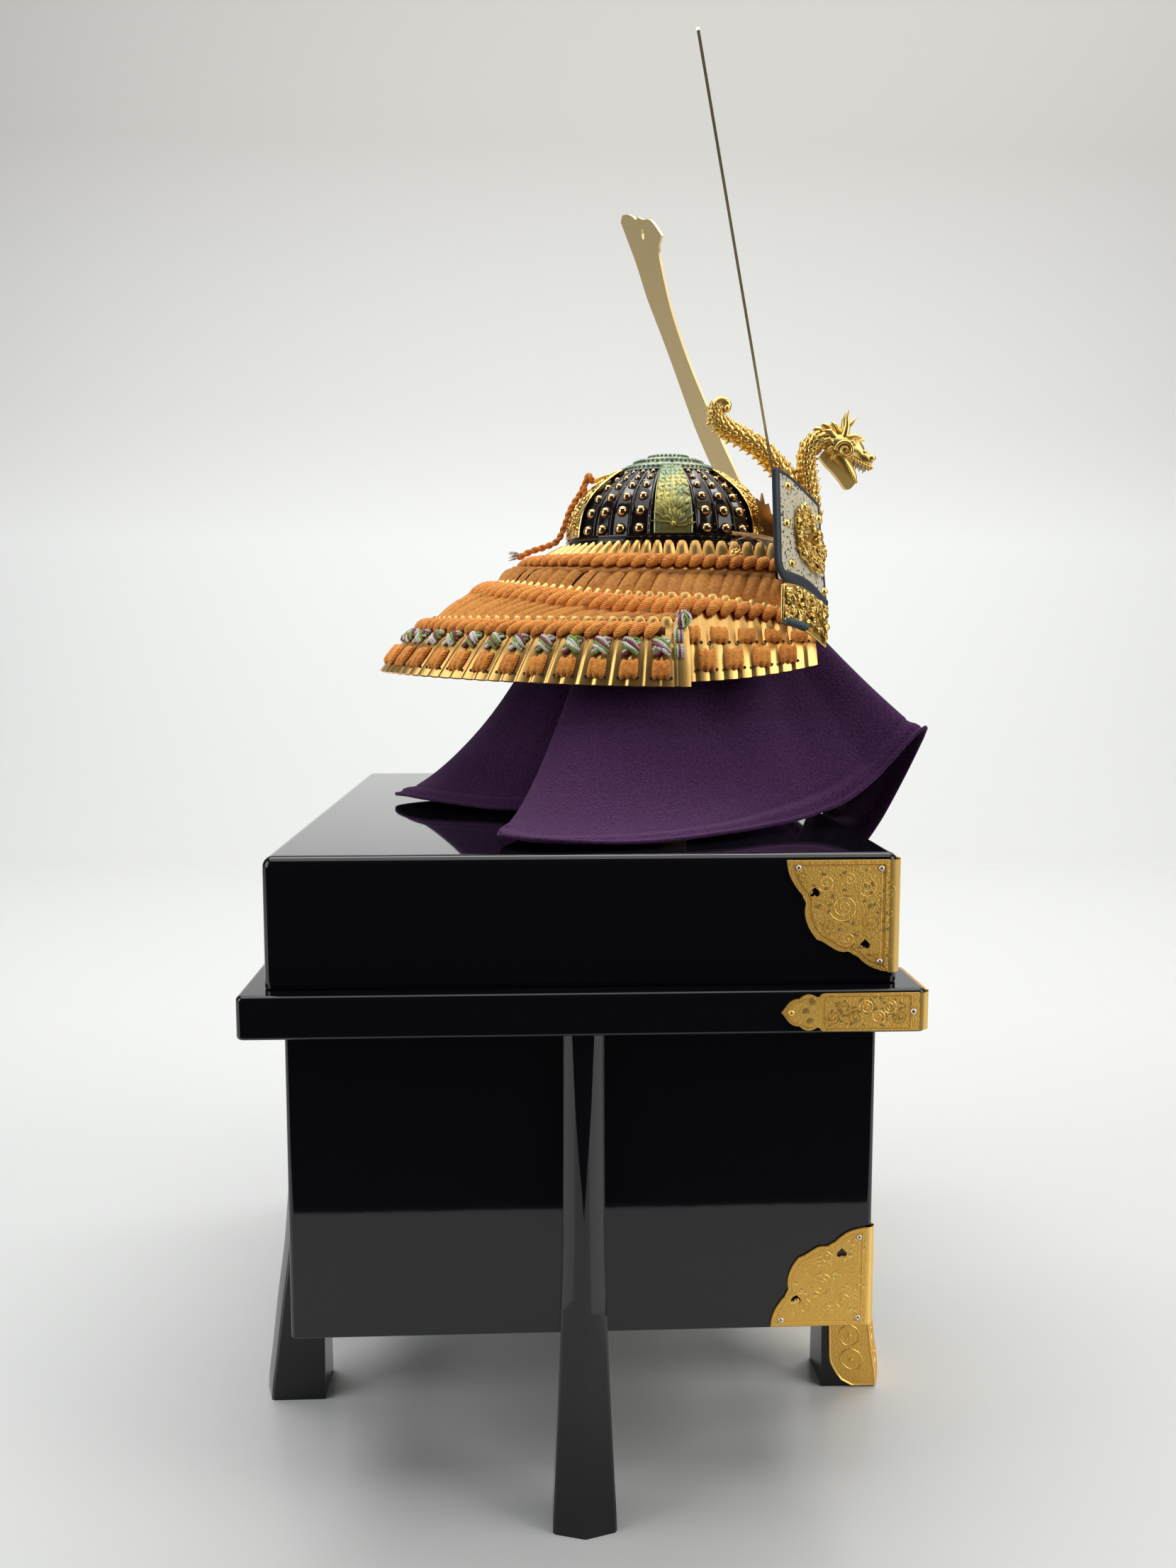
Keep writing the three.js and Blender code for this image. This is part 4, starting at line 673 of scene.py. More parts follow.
def leaf(bag, onto, centre, length, angle, lift, wide=0.32, look=0, tint=0.5, puff=0.5):
    # Curled leaf: raised lens with a sunk mid-rib
    spots = []
    for i in range(7):
        t = i / 6
        half = length * wide * sin(pi * min(1, t * 0.92 + 0.04)) ** 0.8
        for j in range(5):
            s = (j - 2) / 2
            x = length * (t - 0.5)
            y = half * s + 0.16 * length * sin(t * 3)
            h = lift + puff * (1 - abs(s) ** 1.5) * sin(pi * t) ** 0.5 - (puff * 0.45 if j == 2 else 0)
            spots.append(onto(centre[0] + x * cos(angle) - y * sin(angle),
                              centre[1] + x * sin(angle) + y * cos(angle), h))
    addMesh(bag, spots, grid(6, 4), None, look, tint)


rnd = random.Random(11)


def inScallop(along, deep, margin):
    # Whether a spot on a corner plate keeps clear of its scalloped edge
    line = scallopLine(4, 1)
    if any(hypot(p.x - along, p.y - deep) < margin for p in line):
        return False
    limit = 1.0
    for k in range(len(line) - 1):
        a, b = line[k], line[k + 1]
        if (a.y - deep) * (b.y - deep) <= 0 and a.y != b.y:
            limit = a.x + (b.x - a.x) * (deep - a.y) / (b.y - a.y)
    return along < limit


# Scrolls on a corner plate: shares along and deep, share of the size, turns and hand
plateScrolls = [
    (0.5, 0.42, 0.16, 2.2, 1), (0.3, 0.25, 0.11, 1.7, -1), (0.66, 0.2, 0.1, 1.6, 1),
    (0.25, 0.55, 0.11, 1.8, 1), (0.62, 0.58, 0.09, 1.6, -1), (0.46, 0.7, 0.08, 1.5, 1),
    (0.86, 0.14, 0.06, 1.3, -1), (0.18, 0.84, 0.06, 1.3, 1), (0.45, 0.17, 0.07, 1.4, -1),
    (0.14, 0.38, 0.06, 1.3, -1),
]
plateLook = {"hearts": ((0.305, 0.745), (0.755, 0.28)), "heart": 4.2, "border": 1.8, "leaves": 96,
             "leafMargin": 0.07, "nails": ((0.9, 0.065, 0.0), (0.075, 0.075, 1.0), (0.075, 0.9, 1.0))}


def makeCornerPlate(name, node, sx, width, depth, radius, size, edgeZ, rise):
    # One sheet folded round the corner: a scalloped leaf on each face, rise says which way it grows
    bag = newBag()
    gap, thick, border = fitting["fit"], fitting["thick"], plateLook["border"]

    def onEnd(s, z, lift):
        return Vector((sx * (width / 2 + gap + lift), -depth / 2 + radius + s, edgeZ + rise * z))

    def onFront(s, z, lift):
        return Vector((sx * (width / 2 - radius - s), -(depth / 2 + gap + lift), edgeZ + rise * z))

    def at(along, deep):
        return along * size - radius, deep * size

    outline = [(0.0, 0.0)] + [at(p.x, p.y) for p in scallopLine(8)] + [(0.0, size)]
    outline = [(max(0.0, x), z) for x, z in outline]
    kept = [outline[0]]
    for p in outline[1:]:
        if hypot(p[0] - kept[-1][0], p[1] - kept[-1][1]) > 0.05:
            kept.append(p)
    hearts = [heartOutline(*at(*place), plateLook["heart"], -rise) for place in plateLook["hearts"]]
    inner = [(0.94 * (p.x * size) - radius, 0.95 * p.y * size) for p in scallopLine(6, 1)]
    frameLine = [(border, border)] + [(max(border, x), max(border, z)) for x, z in inner] + [(border, border)]
    for onto in (onEnd, onFront):
        cutSheet(bag, kept, hearts, onto, thick)
        addTube(bag, [onto(x, z, thick) for x, z in frameLine], 0.3, 5, 1, flat=0.8)
        addTube(bag, [onto(x, z, thick) for x, z in ((3.2, 3.2), (3.2, 0.9 * size))], 0.18, 4, 1)
        for along, deep, wide, turns, hand in plateScrolls:
            scroll(bag, onto, at(along, deep), wide * size * 0.8, turns, along * 9 + deep * 5, thick, 0.19,
                   hand, 1)
        for _ in range(plateLook["leaves"]):
            along, deep = rnd.uniform(0.08, 0.94), rnd.uniform(0.08, 0.92)
            if inScallop(along, deep, plateLook["leafMargin"]):
                leaf(bag, onto, at(along, deep), rnd.uniform(1.8, 3.4), rnd.uniform(0, 6.28), thick - 0.1,
                     0.3, 1, puff=0.3)
        for along, deep, past in plateLook["nails"]:
            x, z = at(along + past * radius / size, deep)
            here = onto(x, z, thick)
            addDome(bag, here, onto(x, z, thick + 1) - here, 1.25, 0.85, 12, 4, 2)

    def fold(u, v):
        a = u * pi / 2
        r = radius + gap + thick
        return Vector((sx * (width / 2 - radius + r * cos(a)), -(depth / 2 - radius + r * sin(a)),
                       edgeZ + rise * size * v))

    addSheet(bag, fold, 8, 1, 1)
    makePiece(name, bag, [goldFitting, goldEdge, nailMetal], [node], sharp=40)


for side, sx in (("left", -1), ("right", 1)):
    makeCornerPlate(f"lidPlate{side.title()}", f"lid_plate_{side}", sx, chest["lidWidth"], chest["lidDepth"],
                    chest["lidEdge"], fitting["lidPlate"], chest["lidTop"] - fitting["underTop"], -1)
    makeCornerPlate(f"bodyPlate{side.title()}", f"body_plate_{side}", sx, bodyWidth, bodyDepth,
                    chest["bodyCorner"], fitting["bodyPlate"], chest["clearance"] + fitting["aboveBottom"], 1)


# Upper half of a rim band's outline as shares of its length and half its height
bandOutline = [(0.0, 1.0), (0.70, 1.0), (0.725, 0.97), (0.738, 0.86), (0.745, 0.80), (0.76, 0.80),
               (0.772, 0.86), (0.79, 0.92), (0.81, 0.95), (0.83, 0.94), (0.85, 0.88), (0.865, 0.80),
               (0.88, 0.71), (0.90, 0.70), (0.92, 0.66), (0.945, 0.54), (0.965, 0.36), (0.985, 0.14),
               (1.0, 0.0)]
bandLook = {"scrolls": 7, "firstScroll": 0.19, "scrollStep": 0.077, "leaves": 60, "tipFrom": 7}


def makeRimBand(name, node, sx):
    bag = newBag()
    gap, thick, radius = fitting["fit"], fitting["thick"], chest["rimCorner"]
    long, half = fitting["bandLength"], fitting["bandHeight"] / 2
    middle = (chest["rimTop"] + chest["rimBottom"]) / 2
    outline = [(x * long, z * half) for x, z in bandOutline] + [(x * long, -z * half) for x,
                                                                z in bandOutline[-2::-1]]
    upright = [(0.7, 0.86), (0.71, 0.5), (0.71, -0.5), (0.7, -0.86)]
    edge = [(x * long, z * half) for x, z in [(0.12, 0.86)] + upright + [(0.12, -0.86), (0.12, 0.86)]]
    first = bandLook["tipFrom"]
    tip = [(x, z) for x, z in bandOutline[first:]] + [(x, -z) for x, z in bandOutline[-2:first - 1:-1]]
    tip = [(x * long * 0.985 + 0.3, z * half * 0.84) for x, z in tip]

    def onEnd(s, z, lift):
        return Vector((sx * (rimWidth / 2 + gap + lift), -rimDepth / 2 + max(radius, s), middle + z))

    def onFront(s, z, lift):
        return Vector((sx * (rimWidth / 2 - max(radius, s)), -(rimDepth / 2 + gap + lift), middle + z))

    for onto in (onEnd, onFront):
        cutSheet(bag, [(max(radius, x), z) for x, z in outline], [], onto, thick)
        addTube(bag, [onto(x, z, thick) for x, z in edge], 0.22, 5, 1)
        addTube(bag, [onto(x, z, thick) for x, z in tip], 0.24, 5, 1)
        for k in range(bandLook["scrolls"]):
            hand = 1 if k % 2 else -1
            place = ((bandLook["firstScroll"] + bandLook["scrollStep"] * k) * long, 2.0 * hand)
            scroll(bag, onto, place, 3.1, 1.9, k * 2.1, thick, 0.24, hand, 1)
        for _ in range(bandLook["leaves"]):
            place = (rnd.uniform(0.15, 0.68) * long, rnd.uniform(-0.72, 0.72) * half)
            leaf(bag, onto, place, rnd.uniform(2.0, 3.4), rnd.uniform(0, 6.28), thick - 0.1, 0.3, 1, puff=0.3)
        for dx, dz in ((0.8, 0.5), (0.8, -0.5), (0.835, 0.0)):
            leaf(bag, onto, (dx * long, dz * half), 4.2, dz * 2, thick - 0.1, 0.42, 1, puff=0.4)
        for along in (0.1, 0.935):
            here = onto(along * long, 0, thick)
            out = onto(along * long, 0, thick + 1) - here
            addDome(bag, here, out, 1.3, 0.9, 12, 4, 1 if along > 0.5 else 2)

    def fold(u, v):
        a = u * pi / 2
        r = radius + gap + thick
        return Vector((sx * (rimWidth / 2 - radius + r * cos(a)), -(rimDepth / 2 - radius + r * sin(a)),
                       middle + half * (2 * v - 1)))

    addSheet(bag, fold, 8, 1, 1)
    makePiece(name, bag, [goldFitting, goldEdge, nailMetal], [node], sharp=40)


shoe = {"bottom": 1.2, "topGap": 2.0, "thick": 0.9, "footDepth": 0.5, "topDepth": 0.86, "footShare": 0.17,
        "flowers": 5}


def makeFootCover(name, node, sx):
    # Gilt shoe round a leg, four faces wide, lower at the back of its foot
    bag, rows, thick = newBag(), 26, shoe["thick"]
    top = chest["clearance"] - shoe["topGap"]
    x0 = sx * leg["spacing"] / 2

    def at(u, v, lift):
        z = shoe["bottom"] + (top - shoe["bottom"]) * v
        w, out = legSection(z / leg["height"], leg["side"])
        keep = mix(shoe["footDepth"], shoe["topDepth"], clamp(v / shoe["footShare"]) ** 0.5)
        gap = leg["fit"] + lift
        path = [(w / 2 + gap, -out * (1 - keep)), (w / 2 + gap, leg["ridge"] - out - gap * 0.6),
                (0, -out - gap * 1.1), (-w / 2 - gap, leg["ridge"] - out - gap * 0.6),
                (-w / 2 - gap, -out * (1 - keep))]
        s = u * 4
        k = min(3, int(s))
        a, b = path[k], path[k + 1]
        return Vector((x0 + mix(a[0], b[0], s - k), -sideY + mix(a[1], b[1], s - k), z))

    addSheet(bag, lambda u, v: at(u, v, thick), 12, rows, 0)
    addSheet(bag, lambda u, v: at(u, v, 0.0), 12, rows, 0)
    ends = [i / rows for i in range(rows + 1)]
    rim = [at(0, 1 - v, thick) for v in ends] + [at(i / 24, 0, thick)
                                                 for i in range(1, 24)] + [at(1, v, thick) for v in ends]
    addTube(bag, rim, 0.5, 5, 1)
    for u in (0.25, 0.5, 0.75):
        addTube(bag, [at(u, v, thick + 0.05) for v in ends], 0.35, 5, 1)
    for face in range(4):
        for k in range(shoe["flowers"]):
            # Rolled tendril round a bud
            centre = 0.17 + 0.16 * k
            tendril = []
            for step in range(14):
                a = 0.6 * step
                tendril.append(at((face + 0.5 + 0.26 * cos(a)) / 4, centre + 0.07 * sin(a), thick + 0.05))
            addTube(bag, tendril, lambda t: 0.3 * (1 - 0.5 * t), 5, 1)
            addBall(bag, at((face + 0.5) / 4, centre, thick + 0.1), 0.9, None, 6, 4, 1)
    for u, way in ((0.075, 1), (0.925, -1)):
        addDome(bag, at(u, 0.76, thick), Vector((way, 0, 0)), 1.3, 0.9, 12, 4, 2)
    makePiece(name, bag, [goldFitting, goldEdge, nailMetal], [node], sharp=40)


for side, sx in (("left", -1), ("right", 1)):
    makeRimBand(f"rimBand{side.title()}", f"rim_band_{side}", sx)
    makeFootCover(f"footCover{side.title()}", f"foot_cover_{side}", sx)
print("fittings made")

# Cloth over its post
drape = {"thick": 1.4, "neck": 28.0, "throat": 40.0, "base": 422.0, "hemGap": 2.1, "overShare": 0.12,
         "throatShare": 0.2, "soft": 2.6, "pleat": 2.2, "crease": 1.1, "columns": 384, "rows": 84}
hemTable = makeTable(
    "bearing reach lift bend swing", (5, 166, 0, 1.9, 0), (18, 178, 0, 2.0, 6), (32, 128, 1, 1.6, 6),
    (47, 100, 2, 1.5, 4), (62, 108, 1, 1.5, 1), (74, 130, 0, 1.55, 0), (83, 149, 1, 1.55, 0),
    (96, 138, 3, 1.55, 0), (110, 119, 2, 1.5, -1), (122, 106, 1, 1.4, -3), (134, 92, 1, 1.3, -7),
    (144, 130, 1, 1.45, -10), (151.5, 184, 1, 2.0, -12), (157.5, 190, 0, 2.0, -12), (169, 176, 0, 1.95, -8),
    (184, 150, 1, 1.75, -3), (198, 131, 2, 1.4, 0), (212, 124, 6, 1.3, 0), (225, 130, 18, 1.2, 0),
    (234, 145, 39, 1.15, 0), (240, 119, -6, 1.0, 0), (250, 104, -22, 1.0, 0), (270, 94, -26, 1.0, 0),
    (290, 103, -22, 1.0, 0), (301, 118, -8, 1.0, 0), (307, 140, 34, 1.15, 0), (318, 127, 15, 1.2, 0),
    (332, 128, 5, 1.35, 0), (350, 148, 1, 1.75, 0))
bowl = {"radius": 52.5, "height": 36.0, "wall": 2.2, "base": 426.0, "centreY": -53.0, "fit": 1.2}
bowlTable = makeTable("radius height", (0.990, -0.10), (0.990, 0.00), (0.972, 0.17), (0.926, 0.39),
                      (0.823, 0.61), (0.686, 0.79), (0.495, 0.97), (0.260, 1.07), (0.000, 1.10))


def bowlProfile(t, lift=0.0):
    # Radius and height of the bowl's outline moved outwards by a lift
    wide, tall = bowl["radius"], bowl["height"]
    r, z = wide * smooth(bowlTable, t, "radius"), tall * smooth(bowlTable, t, "height")
    a, b = max(0, t - 0.01), min(1, t + 0.01)
    dr = wide * (smooth(bowlTable, b, "radius") - smooth(bowlTable, a, "radius"))
    dz = tall * (smooth(bowlTable, b, "height") - smooth(bowlTable, a, "height"))
    size = hypot(dr, dz)
    return max(0.0, r + lift * dz / size), bowl["base"] + z - lift * dr / size


def around(r, a, z):
    # Spot at a radius, angle and height round the helmet's own axis
    return Vector((r * cos(a), bowl["centreY"] + r * sin(a), z))


def bowlPoint(bearing, t, lift=0.0):
    r, z = bowlProfile(t, lift)
    return around(r, radians(bearing), z)


def capHeight(r):
    # Inside of the bowl over a radius, less the fit
    best = min((bowlProfile(i / 60, -bowl["wall"]) for i in range(61)), key=lambda p: abs(p[0] - r))
    return best[1] - bowl["fit"]


def bump(place, centre, width):
    return exp(-((place - centre) / width) ** 2)


def waver(bearing, size, shift, height):
    a = radians(bearing)
    return noise.noise(Vector((cos(a) * size, sin(a) * size + shift, height)))


def clothPoint(bearing, v):
    # v runs from the middle of the bowl over its rim, by the throat, to the hem on the lid
    over, throat = drape["overShare"], drape["throatShare"]
    columns = {k: steady(hemTable, bearing, "bearing", k, 360) for k in ("reach", "lift", "bend", "swing")}
    if v < over:
        r = drape["neck"] * v / over
        z, a = capHeight(r), bearing + columns["swing"]
    elif v < throat:
        t = (v - over) / (throat - over)
        r = mix(drape["neck"], drape["throat"], t)
        z, a = mix(capHeight(drape["neck"]), drape["base"], t), bearing + columns["swing"]
    else:
        q = (v - throat) / (1 - throat)
        a = bearing + columns["swing"] * (1 - q)
        hem = chest["lidTop"] + drape["hemGap"] + columns["lift"]
        r = mix(drape["throat"], columns["reach"], q)
        z = mix(hem, drape["base"], (1 - q) ** columns["bend"])
        soft = drape["soft"] * sin(pi * q) * waver(bearing, 1.7, 4, q * 1.6)
        pleat = drape["pleat"] * bump(bearing, 200, 26) * sin(radians(bearing * 11 + 30 * q))
        pleat *= sin(pi * clamp(q * 1.15))
        # Turned hem: a stitched ridge a little above the edge, with the seam's groove over it
        r += 1.5 * bump(q, 0.935, 0.018) - 0.9 * bump(q, 0.9, 0.012)
        z += 0.8 * bump(q, 0.935, 0.018)
        # Rolled tips at the near and back corners of the hem
        for corner, far, high in ((233, 9, 4.5), (157, 8, 2.5)):
            z += high * bump(bearing, corner, far) * clamp((q - 0.93) / 0.07) ** 2
        r += pleat + soft + drape["crease"] * sin(pi * q) * waver(a, 3, 0, q * 3)
    return around(r, radians(a), z)


clothBag = newBag()
addSheet(clothBag, lambda u, v: clothPoint(u * 360, v), drape["columns"], drape["rows"], 0, ring=True,
         uvSize=(900, 190))
purpleCloth = newMaterial("purpleCloth", (0.05, 0.018, 0.06), 0.95,
                          **{"Sheen Weight": 0.22, "Sheen Roughness": 0.4, "Sheen Tint": (0.75, 0.5, 0.85, 1),
                             "Specular IOR Level": 0.1})
addMottle(purpleCloth, ((0.034, 0.011, 0.042), (0.074, 0.026, 0.088)), 800, 0.3, 0.7, 6.0)
addGrain(purpleCloth, 900, 1.0, 0.0007)
cloth = makePiece("drapeCloth", clothBag, [purpleCloth], ["drape_cloth"], sharp=80)
thicken = cloth.modifiers.new("thickness", "SOLIDIFY")
thicken.thickness = drape["thick"] * 0.001
thicken.offset = 1

stand = {"head": 25, "headEdge": 26, "neck": 20, "stem": 13, "waist": 11, "flange": 47, "foot": 50,
         "fit": 0.3}


def makePost():
    # Turned post: its head under the cloth, a stem and a round foot on the lid
    bag = newBag()
    under, lidTop = capHeight(stand["head"]), chest["lidTop"] + stand["fit"]
    rows = [(0, capHeight(0) - 3), (14, capHeight(14) - 3.4), (stand["head"], under - 4),
            (stand["headEdge"], under - 9), (stand["neck"], under - 18), (stand["stem"], under - 30),
            (stand["waist"], lidTop + 19.5), (12, lidTop + 15.5), (16, lidTop + 12), (30, lidTop + 10),
            (stand["flange"], lidTop + 8.1), (stand["foot"] - 1, lidTop + 5.5), (stand["foot"], lidTop),
            (0, lidTop)]
    last = len(rows) - 1

    def turnedPost(u, v):
        r, z = rows[round(v * last)]
        return around(r, u * 2 * pi, z)

    addSheet(bag, turnedPost, 48, last, ring=True)
    makePiece("displayPost", bag, [postWood], ["display_post"], sharp=40)


makePost()
print("cloth made")

# Bowl with its ribs, rivets, panels and crown
sideBearing = 177.0
leftRibs = [sideBearing + s for s in (12.6, 24.9, 37.2, -12.6, -24.7, -36.7, -48.8)]
ribBearings = [b % 360 for b in leftRibs + [180 - b for b in leftRibs]]
rivetColumns = [sideBearing + s for s in (18.8, 31.0, 43.4, -19.0, -30.5, -42.8, -54.8)]
rivetColumns += [180 - b for b in rivetColumns]
rivetRows = [(0.195, 2.85), (0.345, 2.7), (0.463, 2.35), (0.572, 2.0), (0.66, 1.5), (0.73, 1.25)]


def ribLift(bearing, radius):
    # Height of the nearest rib, which fades out towards the crown
    best = min(abs((bearing - b + 180) % 360 - 180) for b in ribBearings)
    across = radians(best) * radius
    return clamp(radius / 18) / (1 + (across / 0.75) ** 4)


def makeBowl():
    bag = newBag()
    bearings = {round(i * 2.5, 2) for i in range(144)}
    for b in ribBearings:
        bearings = {x for x in bearings if abs((x - b + 180) % 360 - 180) > 1.7}
        bearings |= {round((b + d) % 360, 2) for d in (-1.6, -1.05, -0.75, -0.4, 0, 0.4, 0.75, 1.05, 1.6)}
    order = sorted(bearings)
    rows, start, tall, wall = 30, 0.06, 0.86, bowl["wall"]
    points = []
    for b in order:
        for j in range(rows + 1):
            t = start + tall * j / rows
            points.append(bowlPoint(b, t, ribLift(b, bowlProfile(t)[0])))
    addMesh(bag, points, grid(len(order), rows, True))
    addSheet(bag, lambda u, v: bowlPoint(u * 360, start + tall * v, -wall), 72, 14, 0, ring=True)
    addSheet(bag, lambda u, v: bowlPoint(u * 360, start, mix(-wall, 0.0, v)), 72, 2, 0, ring=True)
    # Rivets climb each plate and shrink towards the crown
    for bearing in rivetColumns:
        for t, size in rivetRows:
            here = bowlPoint(bearing, t, 0.0)
            out = (bowlPoint(bearing, t, 2.0) - here).normalized()
            side = out.orthogonal().normalized()
            addDome(bag, here, out, size, size * 0.95, 16, 6, 1, sunk=0.1)
            seat = []
            for step in range(15):
                a = step / 7 * pi
                seat.append(here + out * 0.15 + (size + 0.15) * (side * cos(a) + out.cross(side) * sin(a)))
            addTube(bag, seat, 0.25, 4, 2, caps=False)
        for k in range(9):
            # Small pins along the seams
            t = 0.17 + 0.065 * k
            seam = bearing + degrees(4.9 / max(12, bowlProfile(t)[0]))
            here = bowlPoint(seam, t, 0.2)
            addDome(bag, here, bowlPoint(seam, t, 2.0) - here, 0.5, 0.4, 6, 2, 1)
    for k in range(60):
        # Close rows of beads under the crown
        for t, size in ((0.79, 1.05), (0.835, 0.95)):
            bearing = 6 * k + (3 if t > 0.8 else 0)
            here = bowlPoint(bearing, t, 0.0)
            addDome(bag, here, bowlPoint(bearing, t, 2.0) - here, size, size, 8, 3, 1)
    makePiece("bowl", bag, [bowlBlack, rivetMetal, rivetDark], ["bowl"], sharp=45)


bandSizes = {"radius": 53.5, "steps": 144}
bandSection = [(-0.6, -5.6), (0.8, -5.6), (1.3, -5.0), (1.3, -2.6), (0.8, -2.3), (0.8, -0.9), (1.1, -0.6),
               (1.0, 0.1), (0.4, 0.4), (-0.6, 0.4)]


def makeBand():
    # Stepped band under the bowl: its section, out from the radius and up, goes once round
    band = newBag()
    steps, count = bandSizes["steps"], len(bandSection)
    points = []
    for i in range(steps):
        for out, z in bandSection:
            points.append(around(bandSizes["radius"] + out, 2 * pi * i / steps, bowl["base"] + z))
    faces = []
    for i in range(steps):
        here, far = i * count, (i + 1) % steps * count
        faces += [[here + k, far + k, far + (k + 1) % count, here + (k + 1) % count] for k in range(count)]
    addMesh(band, points, faces)
    makePiece("bowlBand", band, [bowlBlack], ["bowl_band"], sharp=45)


# Stepped outline of the crown ornament: radius and height over the bowl's foot
crownOutline = [(24.0, 35.2), (24.6, 36.3), (24.5, 37.4), (23.6, 38.7), (21.5, 39.3), (19.4, 39.7),
                (18.2, 40.1), (17.9, 41.2), (17.2, 42.2), (15.0, 42.7), (12.6, 43.1), (10.6, 43.5),
                (10.3, 44.4), (9.4, 45.1), (7.0, 45.2), (5.2, 44.9), (4.6, 44.2), (0.0, 44.0)]
crownBeads = [  # radius, height, count and size of each ring of beads
    (24.3, 37.5, 58, 0.95), (18.0, 41.3, 44, 0.85), (10.3, 44.5, 28, 0.75),
]


def makeCrown():
    bag = newBag()
    base = bowl["base"]

    def crown(u, v):
        k = v * (len(crownOutline) - 1)
        i = min(int(k), len(crownOutline) - 2)
        r, z = (mix(crownOutline[i][n], crownOutline[i + 1][n], k - i) for n in (0, 1))
        a = u * 2 * pi
        petal = abs(sin(a * 16)) ** 0.5
        if 17 < r < 23.5:
            z += 0.7 * (petal - 0.5)
        if 10.5 < r < 17:
            z += 0.45 * (abs(sin(a * 12 + 0.4)) ** 0.5 - 0.5)
        return around(r, a, base + z)

    addSheet(bag, crown, 160, 34, 0, ring=True)
    for radius, height, count, size in crownBeads:
        for k in range(count):
            addBall(bag, around(radius, 2 * pi * k / count, base + height), size, None, 7, 5, 0, 0.8)
    addSheet(bag, lambda u, v: bowlPoint(u * 360, mix(0.74, 0.98, v), 1.1), 64, 6, 0, ring=True)
    makePiece("crownOrnament", bag, [crownMetal], ["crown_ornament"], sharp=60)


panel = {"bottom": 0.135, "top": 0.77, "height": 47.0, "lift": 1.3, "narrow": 15}


def makePanel(name, node, bearing, half, look, seed):
    # Relief panel; half is its half width in degrees, and a narrow one carries a spray of long leaves
    bag, pick = newBag(), random.Random(seed)
    bottom, top, high = panel["bottom"], panel["top"], panel["height"]
    narrow = half < panel["narrow"]

    def onto(s, z, lift):
        t = mix(bottom, top, clamp(z / high))
        r = max(10.0, bowlProfile(t)[0])
        return bowlPoint(bearing - degrees(s / r), t, panel["lift"] + lift)

    def edge(z):
        share = z / high
        return radians(half * mix(1, 1.05 if narrow else 0.9,
                                  share)) * bowlProfile(mix(bottom, top, share))[0]

    def ground(u, v):
        return onto((2 * u - 1) * edge(v * high), v * high,
                    0.55 + 0.3 * noise.noise(Vector((u * half, v * 40, seed))))

    columns = 10 if narrow else 26
    addSheet(bag, ground, columns * 2, 36, 0)
    addSheet(bag, lambda u, v: onto((2 * u - 1) * edge(v * high), v * high, 0.0), columns, 12, 0)
    for s in (-1, 1):
        addTube(bag, [onto(s * (edge(z * 1.5) - 0.2), z * 1.5, 0.55) for z in range(31)], 0.4, 5, 0)
    addTube(bag, [onto((2 * i / 20 - 1) * edge(0), 0.2, 0.55) for i in range(21)], 0.45, 5, 0)
    if narrow:
        # A spray of long leaves from the foot, then layers of smaller ones
        for k in range(9):
            a = radians(90 + (k - 4) * 21)
            for size, away in ((8.5, 6.0), (6.5, 12.4)):
                leaf(bag, onto, (away * cos(a) * 0.62, 6.5 + away * sin(a)), size, a, 0.75, 0.15, 0, 0.8,
                     0.95)
        addBall(bag, onto(0, 6.2, 1.3), 1.5, None, 8, 6, 0, 0.9)
        for row in range(9):
            z = 20.5 + row * 3.1
            wide = edge(z) - 1.2
            for k in range(-2, 3):
                a = radians(90 + k * 24 * (1 if row % 2 else -0.7))
                place = (k / 2 * wide * 0.92, z + pick.uniform(-0.6, 0.6))
                leaf(bag, onto, place, pick.uniform(4.2, 5.6), a, 0.7, 0.24, 0, pick.uniform(0.4, 1), 0.8)
    else:
        for _ in range(int(5.4 * half)):
            z = pick.uniform(1.5, high - 1.5)
            s = pick.uniform(-1, 1) * (edge(z) - 1.4)
            long, turn = pick.uniform(3.6, 6.4), pick.uniform(0, 6.28)
            leaf(bag, onto, (s, z), long, turn, 0.75, 0.26, 0, pick.uniform(0.3, 1), 0.9)
        for _ in range(int(half * 0.7)):
            z = pick.uniform(4, high - 6)
            s = pick.uniform(-1, 1) * (edge(z) - 4)
            scroll(bag, onto, (s, z), pick.uniform(2.4, 3.6), 1.4, pick.uniform(0, 6.28), 1.3, 0.42,
                   pick.choice((-1, 1)), 0)
    makePiece(name, bag, [look], [node], sharp=60)


rivetDark = newMaterial("rivetSeat", (0.05, 0.03, 0.02), 0.4, 0.6)
crownMetal = addGrain(newMaterial("crownMetal", (0.3, 0.36, 0.27), 0.4, 0.75), 600, 0.25, 0.0003)
addMottle(crownMetal, ((0.22, 0.29, 0.23), (0.36, 0.4, 0.28)), 70)
makeBowl()
makeBand()
makeCrown()
makePanel("panelLeft", "panel_left", sideBearing, 10.2, antique, 1)
makePanel("panelRight", "panel_right", 180 - sideBearing, 10.2, antique, 2)
makePanel("panelBack", "panel_back", 90, 26, goldRelief, 3)
makePanel("panelFront", "panel_front", -90, 42, goldRelief, 4)

# Peak, crest plate and horns
crest = {"y": -112.6, "base": 426.4, "hornRoot": 14.0, "hornRise": 428.0, "hornLength": 204.0,
         "hornThick": 1.3, "lean": 10.4}


peak = {"radius": 55.4, "reach": 17.0, "halfTurn": 62.0, "drop": 5.5, "thick": 1.2}


